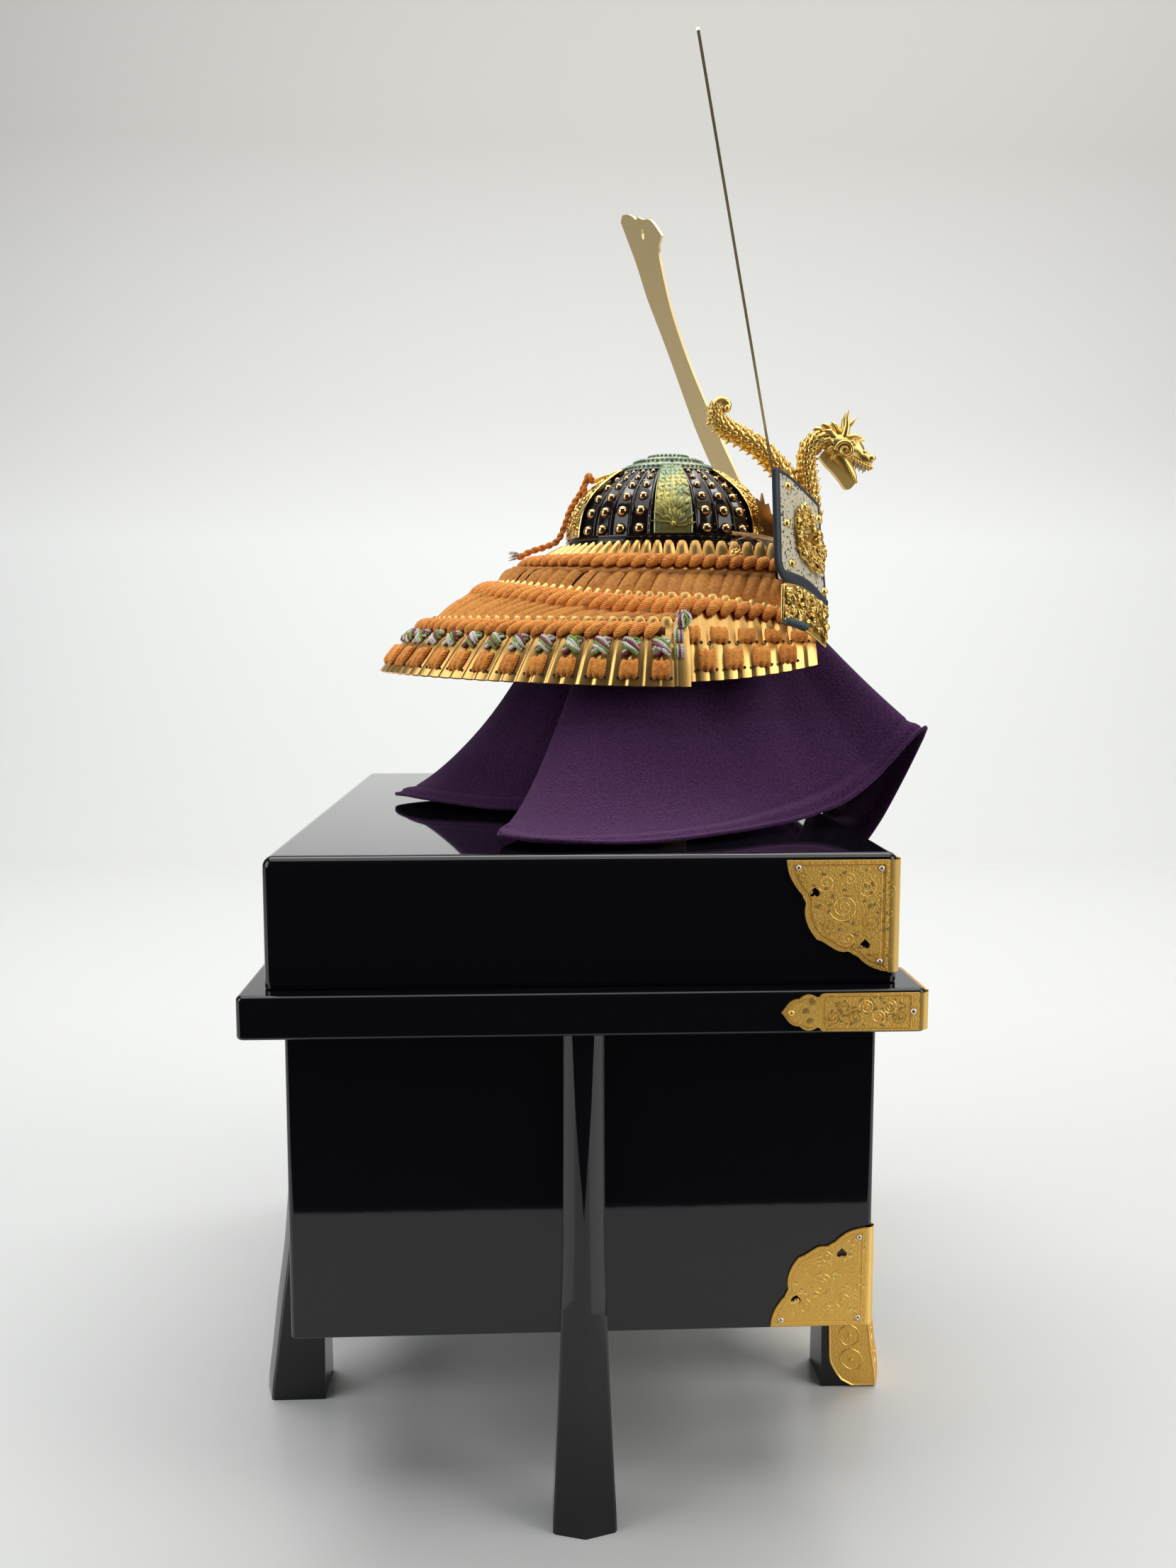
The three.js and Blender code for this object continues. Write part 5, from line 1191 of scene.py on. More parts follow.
def makePeak():
    # Crescent that reaches furthest forwards at its middle and droops a little
    bag = newBag()
    most = peak["reach"]

    def place(u, v, lift):
        turn = 2 * u - 1
        a = radians(-90 + peak["halfTurn"] * turn)
        reach = most * max(0.02, cos(turn * pi / 2)) ** 0.6
        r = peak["radius"] + reach * v
        return around(r, a, bowl["base"] + 0.5 - peak["drop"] * v * reach / most + lift)

    addSheet(bag, lambda u, v: place(u, v, peak["thick"]), 56, 8)
    addSheet(bag, lambda u, v: place(u, v, 0.0), 56, 4)
    addTube(bag, [place(i / 56, 1, peak["thick"] / 2) for i in range(57)], 0.85, 7)
    addTube(bag, [place(i / 56, 0.78, 1.3) for i in range(57)], 0.35, 5)
    makePiece("peak", bag, [finBronze], ["peak"], sharp=45)


crestHalf = [(0, 0.6), (15, 0.2), (30, -0.6), (29.0, 4.5), (26.6, 10), (22, 17), (17, 16.2), (12, 17.2),
             (8.6, 19.4), (7, 22)]
crestScrolls = [(11, 9, 5.2), (20.5, 8.6, 4.6), (4, 14, 3.2), (26, 5, 2.4)]
# Spiky bronze fin that stands up behind each half of the plate
crestFin = [(8, 1.0), (30, 1.0), (33.5, 6), (31.0, 7), (35.5, 12.5), (32.0, 12.6), (36.0, 19.0), (31.0, 17.6),
            (29.5, 22.5), (26.5, 17), (22, 18), (19, 13), (12, 12)]


def makeCrestPlate():
    bag = newBag()

    def onto(x, z, lift):
        return Vector((x, crest["y"] - 1.25 - lift, crest["base"] + z))

    def behind(x, z, lift):
        return Vector((x, crest["y"] + 1.6 + (abs(x) - 8) * 0.62 - lift, crest["base"] + z))

    outline = crestHalf + [(-x, z) for x, z in crestHalf[:0:-1]]
    cutSheet(bag, outline, [], onto, 2.0, 0, 0.4)
    for s in (-1, 1):
        for x, z, size in crestScrolls:
            scroll(bag, onto, (s * x, z), size, 1.9, 0.7 + x, 2.2, 0.5, s, 0)
        for k in range(16):
            x, z = 4 + 22 * (k % 8) / 7, 4 + 9.5 * (k // 8)
            if z < 15 - abs(x - 14) * 0.2:
                leaf(bag, onto, (s * x, z), 5.0, 0.6 * k, 2.1, 0.3, 0, 0.5, 0.8)
        fin = crestFin if s > 0 else [(-x, z) for x, z in crestFin][::-1]
        cutSheet(bag, fin, [], behind, 0.9, 1, 0.3)
    makePiece("crestPlate", bag, [goldRelief, finBronze], ["crest_plate"], sharp=50)


# The horns' outline as shares of their length: outer edge upwards, tip, inner edge downwards
hornOuter = [(0.098, 0.0), (0.157, 0.059), (0.225, 0.147), (0.287, 0.239), (0.342, 0.337), (0.379, 0.416),
             (0.418, 0.511), (0.472, 0.634), (0.529, 0.754), (0.564, 0.858), (0.596, 0.931), (0.627, 1.0)]
hornTip = [(0.608, 1.0145), (0.574, 1.007), (0.542, 0.992), (0.523, 0.977), (0.509, 0.981), (0.478, 0.964),
           (0.447, 0.957), (0.429, 0.949), (0.413, 0.936), (0.397, 0.918), (0.375, 0.892)]
hornInner = [(0.399, 0.873), (0.410, 0.850), (0.405, 0.788), (0.390, 0.698), (0.364, 0.617), (0.327, 0.529),
             (0.288, 0.452), (0.256, 0.392), (0.206, 0.295), (0.152, 0.206), (0.116, 0.137), (0.083, 0.093),
             (0.039, 0.054), (0.0, 0.034), (-0.010, 0.0)]


def rounded(line, steps=3):
    # Catmull-Rom points through an open line
    rows = [{"x": p[0], "y": p[1]} for p in line]
    count = (len(line) - 1) * steps
    return [(smooth(rows, i / count, "x"), smooth(rows, i / count, "y")) for i in range(count + 1)]


def makeHorn(name, node, sx, turn):
    # Flat plate, leant back and turned outwards by its own angle
    bag = newBag()
    long = crest["hornLength"]
    spin = Matrix.Rotation(radians(sx * turn), 3, "Z") @ Matrix.Rotation(radians(-crest["lean"]), 3, "X")
    root = Vector((sx * crest["hornRoot"], crest["y"], crest["hornRise"]))

    def onto(x, z, lift):
        return root + spin @ Vector((sx * x, crest["hornThick"] * 0.5 - lift, z))

    outline = [(x * long, z * long) for x, z in rounded(hornOuter) + hornTip + rounded(hornInner)]
    hole = []
    for i in range(16):
        # Heart cut through the head of the horn
        a = i * pi / 8
        hole.append((0.492 * long + 1.7 * sin(a) * (1 - 0.35 * cos(a)), 0.932 * long - 0.6 + 3.0 * cos(a)))
    cutSheet(bag, outline, [hole], onto, crest["hornThick"], 0, 0.2)
    makePiece(name, bag, [goldPlate], [node], sharp=40)


finBronze = newMaterial("finBronze", (0.42, 0.27, 0.14), 0.38, 0.9)
makePeak()
makeCrestPlate()
makeHorn("hornLeft", "horn_left", -1, 11.7)
makeHorn("hornRight", "horn_right", 1, 18.7)
print("bowl, crest and horns made")

# Neck guard
guard = {"centreY": -45.9, "power": 1.183, "thick": 1.6}


guardColumns = "side back low high ahead"
# A tier's rows go from its lower edge up: half width, depth behind, heights at the sides and the back,
# and how far its front ends rise
tierOne = {"front": 76.2, "narrow": 0.15, "turn": 0.22,
           "rows": makeTable(guardColumns, (66.0, 78, -21, -16, -4), (61.5, 66, -13, -11.5, -3),
                             (56.6, 49.6, -4, -4, -1.7))}
tierTwo = {"front": 71, "narrow": 0.13, "turn": 0.22, "rows": makeTable(guardColumns, 
    (96.0, 121, -72, -54, 8), (91.0, 114, -58, -45, 3), (84.0, 104, -45, -33, -4),
    (75.0, 82, -29.8, -20.5, -10.5))}
tierThree = {"front": 7.3, "narrow": 0.0, "turn": 0.03, "rows": makeTable(guardColumns, 
    (105.4, 146.3, -74, -68, 0), (101.6, 135, -61, -54, 0), (97.0, 126, -51, -46.5, 0),
    (91.5, 117, -42, -40, 0))}
knownRows = {}


def guardPoint(tier, q, v):
    # q runs from the left front end (-1) round the back to the right one (1), v up the tier
    key = (tier["front"], round(v, 4))
    if key not in knownRows:
        knownRows[key] = {k: smooth(tier["rows"], v, k) for k in ("side", "back", "low", "high", "ahead")}
    row = knownRows[key]
    share, sx = min(1.0, abs(q)), -1 if q < 0 else 1
    end = 1 - tier["turn"]
    a = min(1, share / end) * pi / 2
    past = max(0, (share - end) / (1 - end))
    x = row["side"] * sin(a) ** guard["power"] * (1 - tier["narrow"] * past * past)
    y = guard["centreY"] + row["back"] * max(0.0, cos(a)) ** guard["power"] - tier["front"] * past
    z = bowl["base"] + mix(row["high"], row["low"], sin(a) ** 2) + row["ahead"] * past * past
    return Vector((sx * x, y, z))


def guardFrame(tier, q, v):
    # Point and outward normal of a tier
    here = guardPoint(tier, q, v)
    along = guardPoint(tier, min(1, q + 0.004), v) - guardPoint(tier, max(-1, q - 0.004), v)
    up = guardPoint(tier, q, min(1, v + 0.01)) - guardPoint(tier, q, max(0, v - 0.01))
    out = along.cross(up).normalized()
    if out.dot(Vector((here.x, here.y - guard["centreY"], 0))) < 0:
        out.negate()
    return here, out


def measure(tier, pitch, v=0.5):
    # Table of distance along a tier, cut into whole scales
    qs = [i / 600 - 1 for i in range(1201)]
    way, last = [0.0], guardPoint(tier, -1, v)
    for q in qs[1:]:
        here = guardPoint(tier, q, v)
        way.append(way[-1] + (here - last).length)
        last = here
    count = round(way[-1] / pitch)
    tier["qs"], tier["way"], tier["count"] = qs, way, count
    tier["pitch"] = way[-1] / count


def shareAt(tier, s):
    # Bearing share at a count of scales from the left front end
    goal = clamp(s * tier["pitch"], 0, tier["way"][-1])
    low, high = 0, len(tier["way"]) - 1
    while high - low > 1:
        middle = (low + high) // 2
        if tier["way"][middle] <= goal:
            low = middle
        else:
            high = middle
    part = (goal - tier["way"][low]) / max(1e-6, tier["way"][high] - tier["way"][low])
    return mix(tier["qs"][low], tier["qs"][high], part)


def onTier(tier, s, v, lift):
    here, out = guardFrame(tier, shareAt(tier, s), v)
    return here + out * lift


def makeTier(tier, headShare, columns, rows, swell, fold):
    # Overlapping scales with rounded heads; headShare is how much of the height the heads take
    bag = newBag()
    total = tier["count"] * columns

    def reach(f):
        arch = (1 - abs(2 * f - 1) ** 2.3) ** 0.5
        foot = 0.012 * abs(2 * f - 1) ** 2
        return foot, 1 - headShare * (1 - arch)

    outer, inner = [], []
    for i in range(total + 1):
        f = (i % columns) / columns
        low, high = reach(f)
        q = shareAt(tier, i / columns)
        for j in range(rows + 1):
            w = 1 - (1 - j / rows) ** 1.3
            v = mix(low, high, w)
            here, out = guardFrame(tier, q, v)
            head = clamp((v - (1 - 1.6 * headShare)) / headShare)
            bulge = swell * (1 - (2 * f - 1) ** 2) * (0.25 + 0.75 * head)
            sheet = fold * (f - 0.5) * (1 - head)
            outer.append(here + out * (bulge + sheet - 0.15))
            inner.append(here - out * guard["thick"])
    addMesh(bag, outer, grid(total, rows))
    addMesh(bag, inner, grid(total, rows), None, 1)
    # Close the sheet along its edges
    tall = rows + 1
    edges = [[i * tall + j for i in range(total + 1)] for j in (0, rows)]
    edges += [[i * tall + j for j in range(tall)] for i in (0, total)]
    for edge in edges:
        strip = [side[place] for place in edge for side in (outer, inner)]
        addMesh(bag, strip, [[2 * i, 2 * i + 1, 2 * i + 3, 2 * i + 2] for i in range(len(edge) - 1)])
    return bag


def lean(tier, s, most):
    # Slant of the lacing: its upper end stands further to the front, most at the flank and the back
    share = shareAt(tier, s)
    way = -1 if share < 0 else 1
    return way * most * sin(pi * clamp((1 - abs(share)) / 0.9)) ** 0.7


def makeBraid(name, node, tier, low, high, most, wide, puff, span):
    # Slanted loops round a tier's upper edge, one to a scale
    bag, pick = newBag(), random.Random(len(name) + tier["count"])
    for k in range(tier["count"]):
        s = k + 0.5
        if abs(shareAt(tier, s)) > span:
            continue
        shift = max(0.35, abs(lean(tier, s, most))) * (-1 if shareAt(tier, s) < 0 else 1)
        route, normals = [], []
        for i in range(9):
            t = i / 8
            bend = 0.12 * sin(2 * pi * t)
            here, out = guardFrame(tier, shareAt(tier, s - shift / 2 + shift * t + bend), mix(low, high, t))
            route.append(here + out * (0.6 + puff * sin(pi * t) ** 0.6))
            normals.append(out)
        radius = lambda t: wide * (0.32 + 0.68 * sin(pi * clamp(t, 0.03, 0.97)) ** 0.55)
        addTube(bag, route, radius, 9, 0, pick.uniform(0.3, 0.8), 0.72, normals)
    # Core that fills the gaps between the loops
    core = []
    for i in range(161):
        q = shareAt(tier, tier["count"] * i / 160)
        if abs(q) <= span:
            here, out = guardFrame(tier, q, (low + high) / 2)
            core.append(here + out * 0.4)
    addTube(bag, core, wide * 0.75, 6, 1, 0.2)
    makePiece(name, bag, [orangeCord, orangeShade], [node], sharp=80)


def makeLacing(name, node, upper, lower, fromRise, overRise, reach, most, lowerReach):
    # Strips that hang from one tier and go in behind the heads of the next
    bag, pick = newBag(), random.Random(len(name) + upper["count"])
    for k in range(upper["count"]):
        s = k + 0.5
        q = shareAt(upper, s)
        if abs(q) > reach:
            continue
        shift = lean(upper, s, most) + pick.uniform(-0.12, 0.12)
        wide = (0.6 + pick.uniform(-0.03, 0.08)) * upper["pitch"]
        tint = pick.uniform(0.3, 0.85)
        puff = pick.uniform(0.7, 2.3)
        twist = pick.uniform(-0.8, 0.8)
        crease = pick.uniform(0.3, 0.7)
        footQ = q * lowerReach / reach

        def ribbon(u, v):
            # v runs down from under the braid to behind the heads of the tier below
            across = 2 * u - 1
            middle = 1 - across * across
            crown = middle * (puff * sin(pi * clamp(v * 0.9 + 0.08)) + 0.35) + twist * across * sin(pi * v)
            crown -= 0.7 * bump(v + 0.25 * across, crease, 0.07) * middle
            place = s + shift * (1 - v)
            if v < 0.45:
                here, out = guardFrame(upper, shareAt(upper, place), mix(fromRise, overRise, v / 0.45))
                mid = here + out * (0.5 + crown)
            else:
                a, outA = guardFrame(upper, shareAt(upper, s + shift * 0.55), overRise)
                foot, outB = guardFrame(lower, clamp(footQ, -1, 1), 0.95)
                t = (v - 0.45) / 0.55
                out = outA.lerp(outB, t)
                mid = (a + outA * 0.5).lerp(foot - outB * 1.5, t)
                mid += out.normalized() * (crown + 1.2 * sin(pi * t * 0.8))
            along = guardPoint(upper, min(1, q + 0.01),
                               overRise) - guardPoint(upper, max(-1, q - 0.01), overRise)
            return mid + along.normalized() * (across * wide * (1 - 0.12 * sin(pi * v)))

        addSheet(bag, ribbon, 6, 16, 0, tint, uvSize=(1.0, 22.0))
    makePiece(name, bag, [ribbonCord], [node], sharp=80)


def makePatches(name, node, tier, spots, low, high, wide, look):
    # Puffed, three-lobed stitches with a near-black disc painted as hole shade at each lower corner; wide is
    # counted in scales
    bag, pick = newBag(), random.Random(len(name) * 7 + int(low * 100))
    for s in spots:
        tint = pick.uniform(0.35, 0.9)
        tilt = pick.uniform(-0.08, 0.08)
        wobble = pick.uniform(-0.5, 0.5)

        def patch(u, v):
            x, y = 2 * u - 1, 2 * v - 1
            edge = (1 - abs(x) ** 3) * (1 - abs(y) ** 3)
            lobe = cos(3 * pi * x / 1.12 + wobble)
            lift = 0.45 + 2.5 * max(0.0, edge) ** 0.42 * (0.88 + 0.14 * lobe * (0.35 + 0.65 * abs(y)))
            rise = mix(low, high, 0.5 + 0.5 * y * (1 + 0.09 * lobe * abs(y))) + tilt * x * (high - low)
            return onTier(tier, s + x * wide / 2 * (1 - 0.1 * y * y), rise, lift)

        addSheet(bag, patch, 16, 8, 0, tint, uvSize=(9.0, 1.0))
        # Flat near-black discs: painted shade where the lace goes into its holes
        for side in (-1, 1):
            here, out = guardFrame(tier, shareAt(tier, s + side * wide * 0.52), mix(low, high, 0.06))
            addDome(bag, here + out * 0.55, out, 0.8, 0.12, 8, 2, 1)
    makePiece(name, bag, [look, holeShadeAndDarkSeam], [node], sharp=80)


def makeKnots(name, node, tier, spots, low, high, wide):
    # Crossed bundles of white, green and maroon strands
    bag, pick = newBag(), random.Random(5)
    for s in spots:
        looks = [0, 0, 0, 1, 1, 2, 2]
        pick.shuffle(looks)
        for layer, slope in ((0, -1), (1, 1)):
            for k in range(4):
                off = (k - 1.5) * 0.5
                route, normals = [], []
                wobble = pick.uniform(-0.04, 0.04)
                reach = 0.5 - 0.07 * abs(off)
                for i in range(8):
                    t = i / 7
                    x = (t - 0.5) * 2 * reach * wide + wobble
                    rise = 0.5 + off * 0.42 + slope * (t - 0.5) * 0.8 + 0.07 * sin(5 * t + k * 2)
                    v = mix(low, high, clamp(rise, -0.05, 1.05))
                    here, out = guardFrame(tier, shareAt(tier, s + x), v)
                    route.append(here + out * (0.55 + (1.1 + 0.75 * layer) * sin(pi * t) ** 0.6))
                    normals.append(out)
                radius = lambda t: 1.12 * (0.45 + 0.55 * sin(pi * clamp(t, 0.04, 0.96)) ** 0.5)
                addTube(bag, route, radius, 7, looks[(k + layer * 3) % 7], pick.uniform(0.3, 0.9), 0.8,
                        normals)
        # Flat near-black discs at each side: painted shade for the lace holes
        for side in (-1, 1):
            here, out = guardFrame(tier, shareAt(tier, s + side * wide * 0.5), mix(low, high, 0.95))
            addDome(bag, here + out * 0.55, out, 0.75, 0.12, 8, 2, 3)
    makePiece(name, bag, [whiteCord, greenCord, maroonCord, holeShadeAndDarkSeam], [node], sharp=80)


measure(tierOne, 6.6)
measure(tierTwo, 6.8)
measure(tierThree, 7.1)
orangeShade = newMaterial("braidShade", (0.16, 0.04, 0.01), 0.95)
ribbonCord = newCord("ribbonBraid", (0.62, 0.18, 0.018), (1.0, 0.42, 0.06), 0.8, 5)
scaleInner = newMaterial("scaleInside", (0.3, 0.2, 0.08), 0.5, 0.8)
for name, node, tier, heads, swell, fold, rows in (
    ("guardTierOne", "guard_tier_1", tierOne, 0.3, 1.7, 0.3, 14),
    ("guardTierTwo", "guard_tier_2", tierTwo, 0.085, 1.2, 1.0, 16),
    ("guardTierThree", "guard_tier_3", tierThree, 0.12, 1.2, 1.0, 14)):
    bag = makeTier(tier, heads, 8, rows, swell, fold)
    makePiece(name, bag, [goldScale, scaleInner], [node], sharp=70)
makeBraid("braidOne", "braid_1", tierOne, 0.28, 0.6, 1.15, 2.9, 1.2, 0.97)
makeBraid("braidTwo", "braid_2", tierTwo, 0.755, 0.92, 1.25, 3.0, 1.3, 0.97)
makeBraid("braidThree", "braid_3", tierThree, 0.635, 0.87, 1.35, 2.8, 1.2, 0.94)
makeLacing("lacingOne", "lacing_1", tierOne, tierTwo, 0.2, 0.0, 0.97, 1.3, 0.97)
makeLacing("lacingTwo", "lacing_2", tierTwo, tierThree, 0.82, 0.76, 0.80, 1.4, 0.97)
pairs = [k + 0.9 for k in range(1, tierThree["count"] - 1, 2)]
makeKnots("knotBand", "knot_band", tierThree, pairs, 0.385, 0.60, 1.12)
makePatches("laceBand", "lace_band", tierThree, pairs, 0.105, 0.31, 1.16, orangeCord)
for side, flip in (("left", False), ("right", True)):
    for rank, low, high, start in (("upper", 0.43, 0.64, 1.3), ("lower", 0.13, 0.36, 2.3)):
        spots = [start + 2 * k for k in range(12) if shareAt(tierTwo, start + 2 * k) < -0.79]
        if flip:
            spots = [tierTwo["count"] - s for s in spots]
        makePatches(f"frontLace{rank.title()}{side.title()}", f"front_lace_{rank}_{side}", tierTwo, spots,
                    low, high, 1.34, orangeCord)
print("neck guard made")

# Dragon
limbColumns = "front up half"
dragonNeck = makeTable(limbColumns, (-122, 430, 5), (-130, 437, 5.4), (-129.2, 448, 5.2), (-128, 458, 4.9),
                       (-126.6, 467, 4.7), (-127.6, 475.5, 4.6), (-132.4, 480.2, 4.6), (-138.5, 479.6, 5.2))
dragonTail = makeTable(limbColumns, (-122, 436, 5), (-121.4, 449, 5.4), (-115.6, 461.2, 5.4),
                       (-108.8, 469, 5.2), (-101.4, 476, 5), (-92.8, 481.2, 4.9), (-84.4, 485.2, 4.8),
                      (-78.6, 490.2, 4.3), (-77.4, 496.4, 3.4), (-80.8, 500.2, 2.7), (-84.4, 498.4, 2.3),
                      (-83.6, 495.6, 1.9))
dragonSnout = makeTable(limbColumns, (-138, 478.2, 6.0), (-143, 477.2, 7.2), (-148, 476.2, 7.4),
                        (-152.5, 474.8, 6.2), (-156, 472.0, 4.4), (-159.4, 470.0, 4.0), (-162.4, 469.2, 2.9))
dragonJaw = makeTable(limbColumns, (-142, 474, 5.2), (-146, 469.6, 4.6), (-149.6, 464.6, 3.5),
                      (-152.2, 460.2, 2.5), (-152.2, 457.2, 1.4))


def limbFrame(rows, t):
    at = lambda s: Vector((0, smooth(rows, s, "front"), smooth(rows, s, "up")))
    along = (at(min(1, t + 0.01)) - at(max(0, t - 0.01))).normalized()
    return at(t), along, smooth(rows, t, "half")


def addLimb(bag, rows, steps, flat=0.86, sides=14, look=0):
    route = [limbFrame(rows, i / steps)[0] for i in range(steps + 1)]
    addTube(bag, route, lambda t: limbFrame(rows, t)[2] * 0.94, sides, look, 0.5, flat,
            [Vector((1, 0, 0))] * (steps + 1))


def limbLength(rows):
    spots = [limbFrame(rows, i / 60)[0] for i in range(61)]
    return sum((b - a).length for a, b in zip(spots, spots[1:]))


def addScales(bag, rows, start, end, pitch, flat=0.86, look=0):
    # Overlapping scales on both flanks, each row set half a step on
    count = int(limbLength(rows) * (end - start) / pitch)
    for i in range(count):
        t = mix(start, end, i / count)
        here, along, half = limbFrame(rows, t)
        across = Vector((1, 0, 0))
        out = along.cross(across)
        for flank in (-1, 1):
            for k in range(-1, 3):
                a = radians(42 * k - 32 + (21 if i % 2 else 0))
                way = across * (flank * cos(a) * flat) + out * sin(a)
                spot = here + way * half * 0.97
                normal = way.normalized()
                tangent = normal.cross(along).normalized()
                forward = (along * 0.93 + normal * 0.36).normalized()
                turn = Matrix((forward, tangent, forward.cross(tangent))).transposed()
                size = half / 5
                addBall(bag, spot, (2.2 * size, 1.75 * size, 0.75 * size), turn, 8, 5, look)


def addSpike(bag, root, tip, radius, sides=6, look=0, bow=0.0, flat=1.0):
    # Tapered, slightly bowed spike
    middle = (root + tip) / 2 + Vector((0, 0, bow))
    shares = (0, 0.17, 0.34, 0.5, 0.67, 0.84, 1.0)
    route = [root.lerp(middle, t * 2) if t < 0.5 else middle.lerp(tip, t * 2 - 1) for t in shares]
    normals = [Vector((1, 0, 0))] * len(route) if flat != 1 else None
    addTube(bag, route, lambda t: radius * (1 - t) ** 0.7 + 0.12, sides, look, 0.5, flat, normals)


def addCrest(bag, rows, start, end, pitch, side, size, sharp):
    # Row of spikes or beads along one edge of a limb
    count = int(limbLength(rows) * (end - start) / pitch)
    for i in range(count):
        here, along, half = limbFrame(rows, mix(start, end, (i + 0.5) / count))
        out = along.cross(Vector((1, 0, 0))) * side
        root = here + out * (half * 0.86)
        if sharp:
            addSpike(bag, root, root + out * size * 1.5 + along * size * 0.35, size * 0.72, 6)
        else:
            addBall(bag, root + out * size * 0.3, size * 0.75, None, 8, 6)


# Places on the head are for its right half: x out from the middle, y and z as in the whole
dragonMane = [  # root y and z, tip y, z and x, size
    (-145, 480.8, -139.4, 489.2, 2.2, 2.6), (-141.4, 481, -134.6, 488.4, 1.8, 2.7),
    (-137, 480.6, -130.4, 486.0, 1.8, 2.4),
    (-142, 479.6, -135.4, 484.4, 4.6, 2.6), (-141, 476.8, -134.6, 479.0, 5.6, 2.3),
    (-142, 474.0, -136.6, 473.4, 5.6, 2.0),
    (-143, 471.4, -139.4, 469.2, 5.0, 1.7),
]
dragonBalls = [  # x, y, z, radii, sides, rows and look of the brow, eye, nostril and snout
    (4.6, -150.6, 478.2, (1.6, 2.0, 1.7), 10, 8, 0), (5.6, -151.2, 477.2, (0.9, 1.5, 1.2), 10, 7, 1),
    (2.1, -161.6, 470.6, (1.7, 2.4, 1.9), 10, 7, 0), (2.6, -157.4, 473.6, (1.4, 1.6, 1.4), 8, 6, 0),
]
dragonHorn = [(2.8, -146.2, 480.6), (3.2, -147.2, 484.2), (3.5, -147.8, 487.6), (3.6, -147.6, 490.8),
              (3.8, -148.6, 495.2)]
dragonFork = [(3.4, -147.9, 486.6), (3.8, -150.2, 488.4), (4.0, -151.4, 489.9), (4.1, -152.9, 491.7)]
beardPlate = [(-133.6, 471.0), (-137.0, 466.8), (-140.9, 463.0), (-145.0, 458.2), (-147.4, 454.9),
              (-149.8, 454.2), (-152.4, 456.6), (-153.0, 459.6), (-150.0, 464.0), (-147, 469),
              (-143.6, 474.0), (-137, 475.0)]


def addHeadSide(bag, s):
    # One half of the dragon's head
    def spot(x, y, z):
        return Vector((s * x, y, z))

    for x, y, z, radii, sides, rows, look in dragonBalls:
        addBall(bag, spot(x, y, z), radii, None, sides, rows, look)
    addSpike(bag, spot(3.4, -148.0, 480.6), spot(4.0, -156.4, 480.8), 2.3, 8, bow=1.0)
    addSpike(bag, spot(1.6, -152.0, 478.6), spot(1.4, -158.8, 480.7), 1.9, 8, bow=0.4)
    for k in range(10):
        # Beaded lips
        t = k / 9
        upper = spot(mix(4.8, 2.6, t), mix(-147.6, -161.4, t), mix(472.2, 465.4, t ** 0.8))
        lower = spot(mix(3.6, 2.0, t), mix(-146.0, -153.6, t), mix(470.4, 458.2, t))
        addBall(bag, upper, (0.95, 1.1, 1.0), None, 7, 5)
        addBall(bag, lower, (0.9, 0.95, 0.95), None, 7, 5)
    for k in range(4):
        # Teeth
        t = k / 3
        root, tip = spot(2.2, mix(-152.4, -158.6, t),
                         mix(469.4, 466.4, t)), spot(2.2, mix(-152.0, -158.0, t), mix(465.8, 463.2, t))
        addSpike(bag, root, tip, 0.8, 5, 2)
    curl = []
    for i in range(26):
        # Curl on the cheek
        t = i / 25
        a, r = t * 3.4 * pi, mix(5.2, 0.6, t)
        curl.append(spot(6.0 + 0.6 * sin(t * pi), -146.4 + r * cos(a), 474.0 + r * sin(a)))
    addTube(bag, curl, lambda t: 1.15 * (1 - 0.55 * t), 7)
    for y0, z0, y1, z1, x1, size in dragonMane:
        # Flames of the mane, each with a ridge along it
        root, tip = spot(x1 * 0.75, y0, z0), spot(x1, y1, z1)
        addSpike(bag, root, tip, size, 8, 0, 1.9, 0.6)
        ridge = [root.lerp(tip, t) + Vector((s, 0, 1.4 * sin(pi * t))) for t in (0.05, 0.3, 0.55, 0.8)]
        addTube(bag, ridge, lambda t: 0.5 * (1 - 0.7 * t), 5)
    addTube(bag, [spot(*p) for p in dragonHorn], lambda t: 2.3 * (1 - t) ** 0.6 + 0.2, 8)
    addTube(bag, [spot(*p) for p in dragonFork], lambda t: 1.35 * (1 - t) + 0.2, 7)


def makeDragon():
    bag = newBag()
    addLimb(bag, dragonNeck, 60)
    addLimb(bag, dragonTail, 90)
    addLimb(bag, dragonSnout, 30, 0.92)
    addLimb(bag, dragonJaw, 24, 1.0)
    addScales(bag, dragonNeck, 0.1, 0.96, 2.9)
    addScales(bag, dragonTail, 0.06, 0.78, 2.9)
    addCrest(bag, dragonNeck, 0.34, 0.9, 3.6, -1, 1.9, True)
    addCrest(bag, dragonTail, 0.12, 0.66, 3.6, 1, 1.9, True)
    addCrest(bag, dragonTail, 0.12, 0.72, 3.3, -1, 2.0, False)
    addBall(bag, Vector((0, -84.0, 496.2)), (3.2, 2.3, 2.3), None, 12, 8)
    for s in (-1, 1):
        addHeadSide(bag, s)
    # Smooth beard plate under the jaw
    plate = rounded(beardPlate + [beardPlate[0]], 3)[:-1]
    for s in (-1, 1):
        cutSheet(bag, plate, [], lambda y, z, lift, s=s: Vector((s * lift, y, z)), 2.4, 1, 0.7)
    makePiece("dragon", bag, [goldCast, goldSmooth, toothMetal], ["dragon"], sharp=60)


goldCast = addGrain(newMaterial("goldCasting", (0.88, 0.62, 0.2), 0.32, 1.0), 900, 0.15, 0.0002)
goldSmooth = newMaterial("goldSmooth", (0.92, 0.62, 0.19), 0.4, 0.7)
toothMetal = newMaterial("toothMetal", (0.86, 0.78, 0.6), 0.3, 0.8)
makeDragon()
print("dragon made")

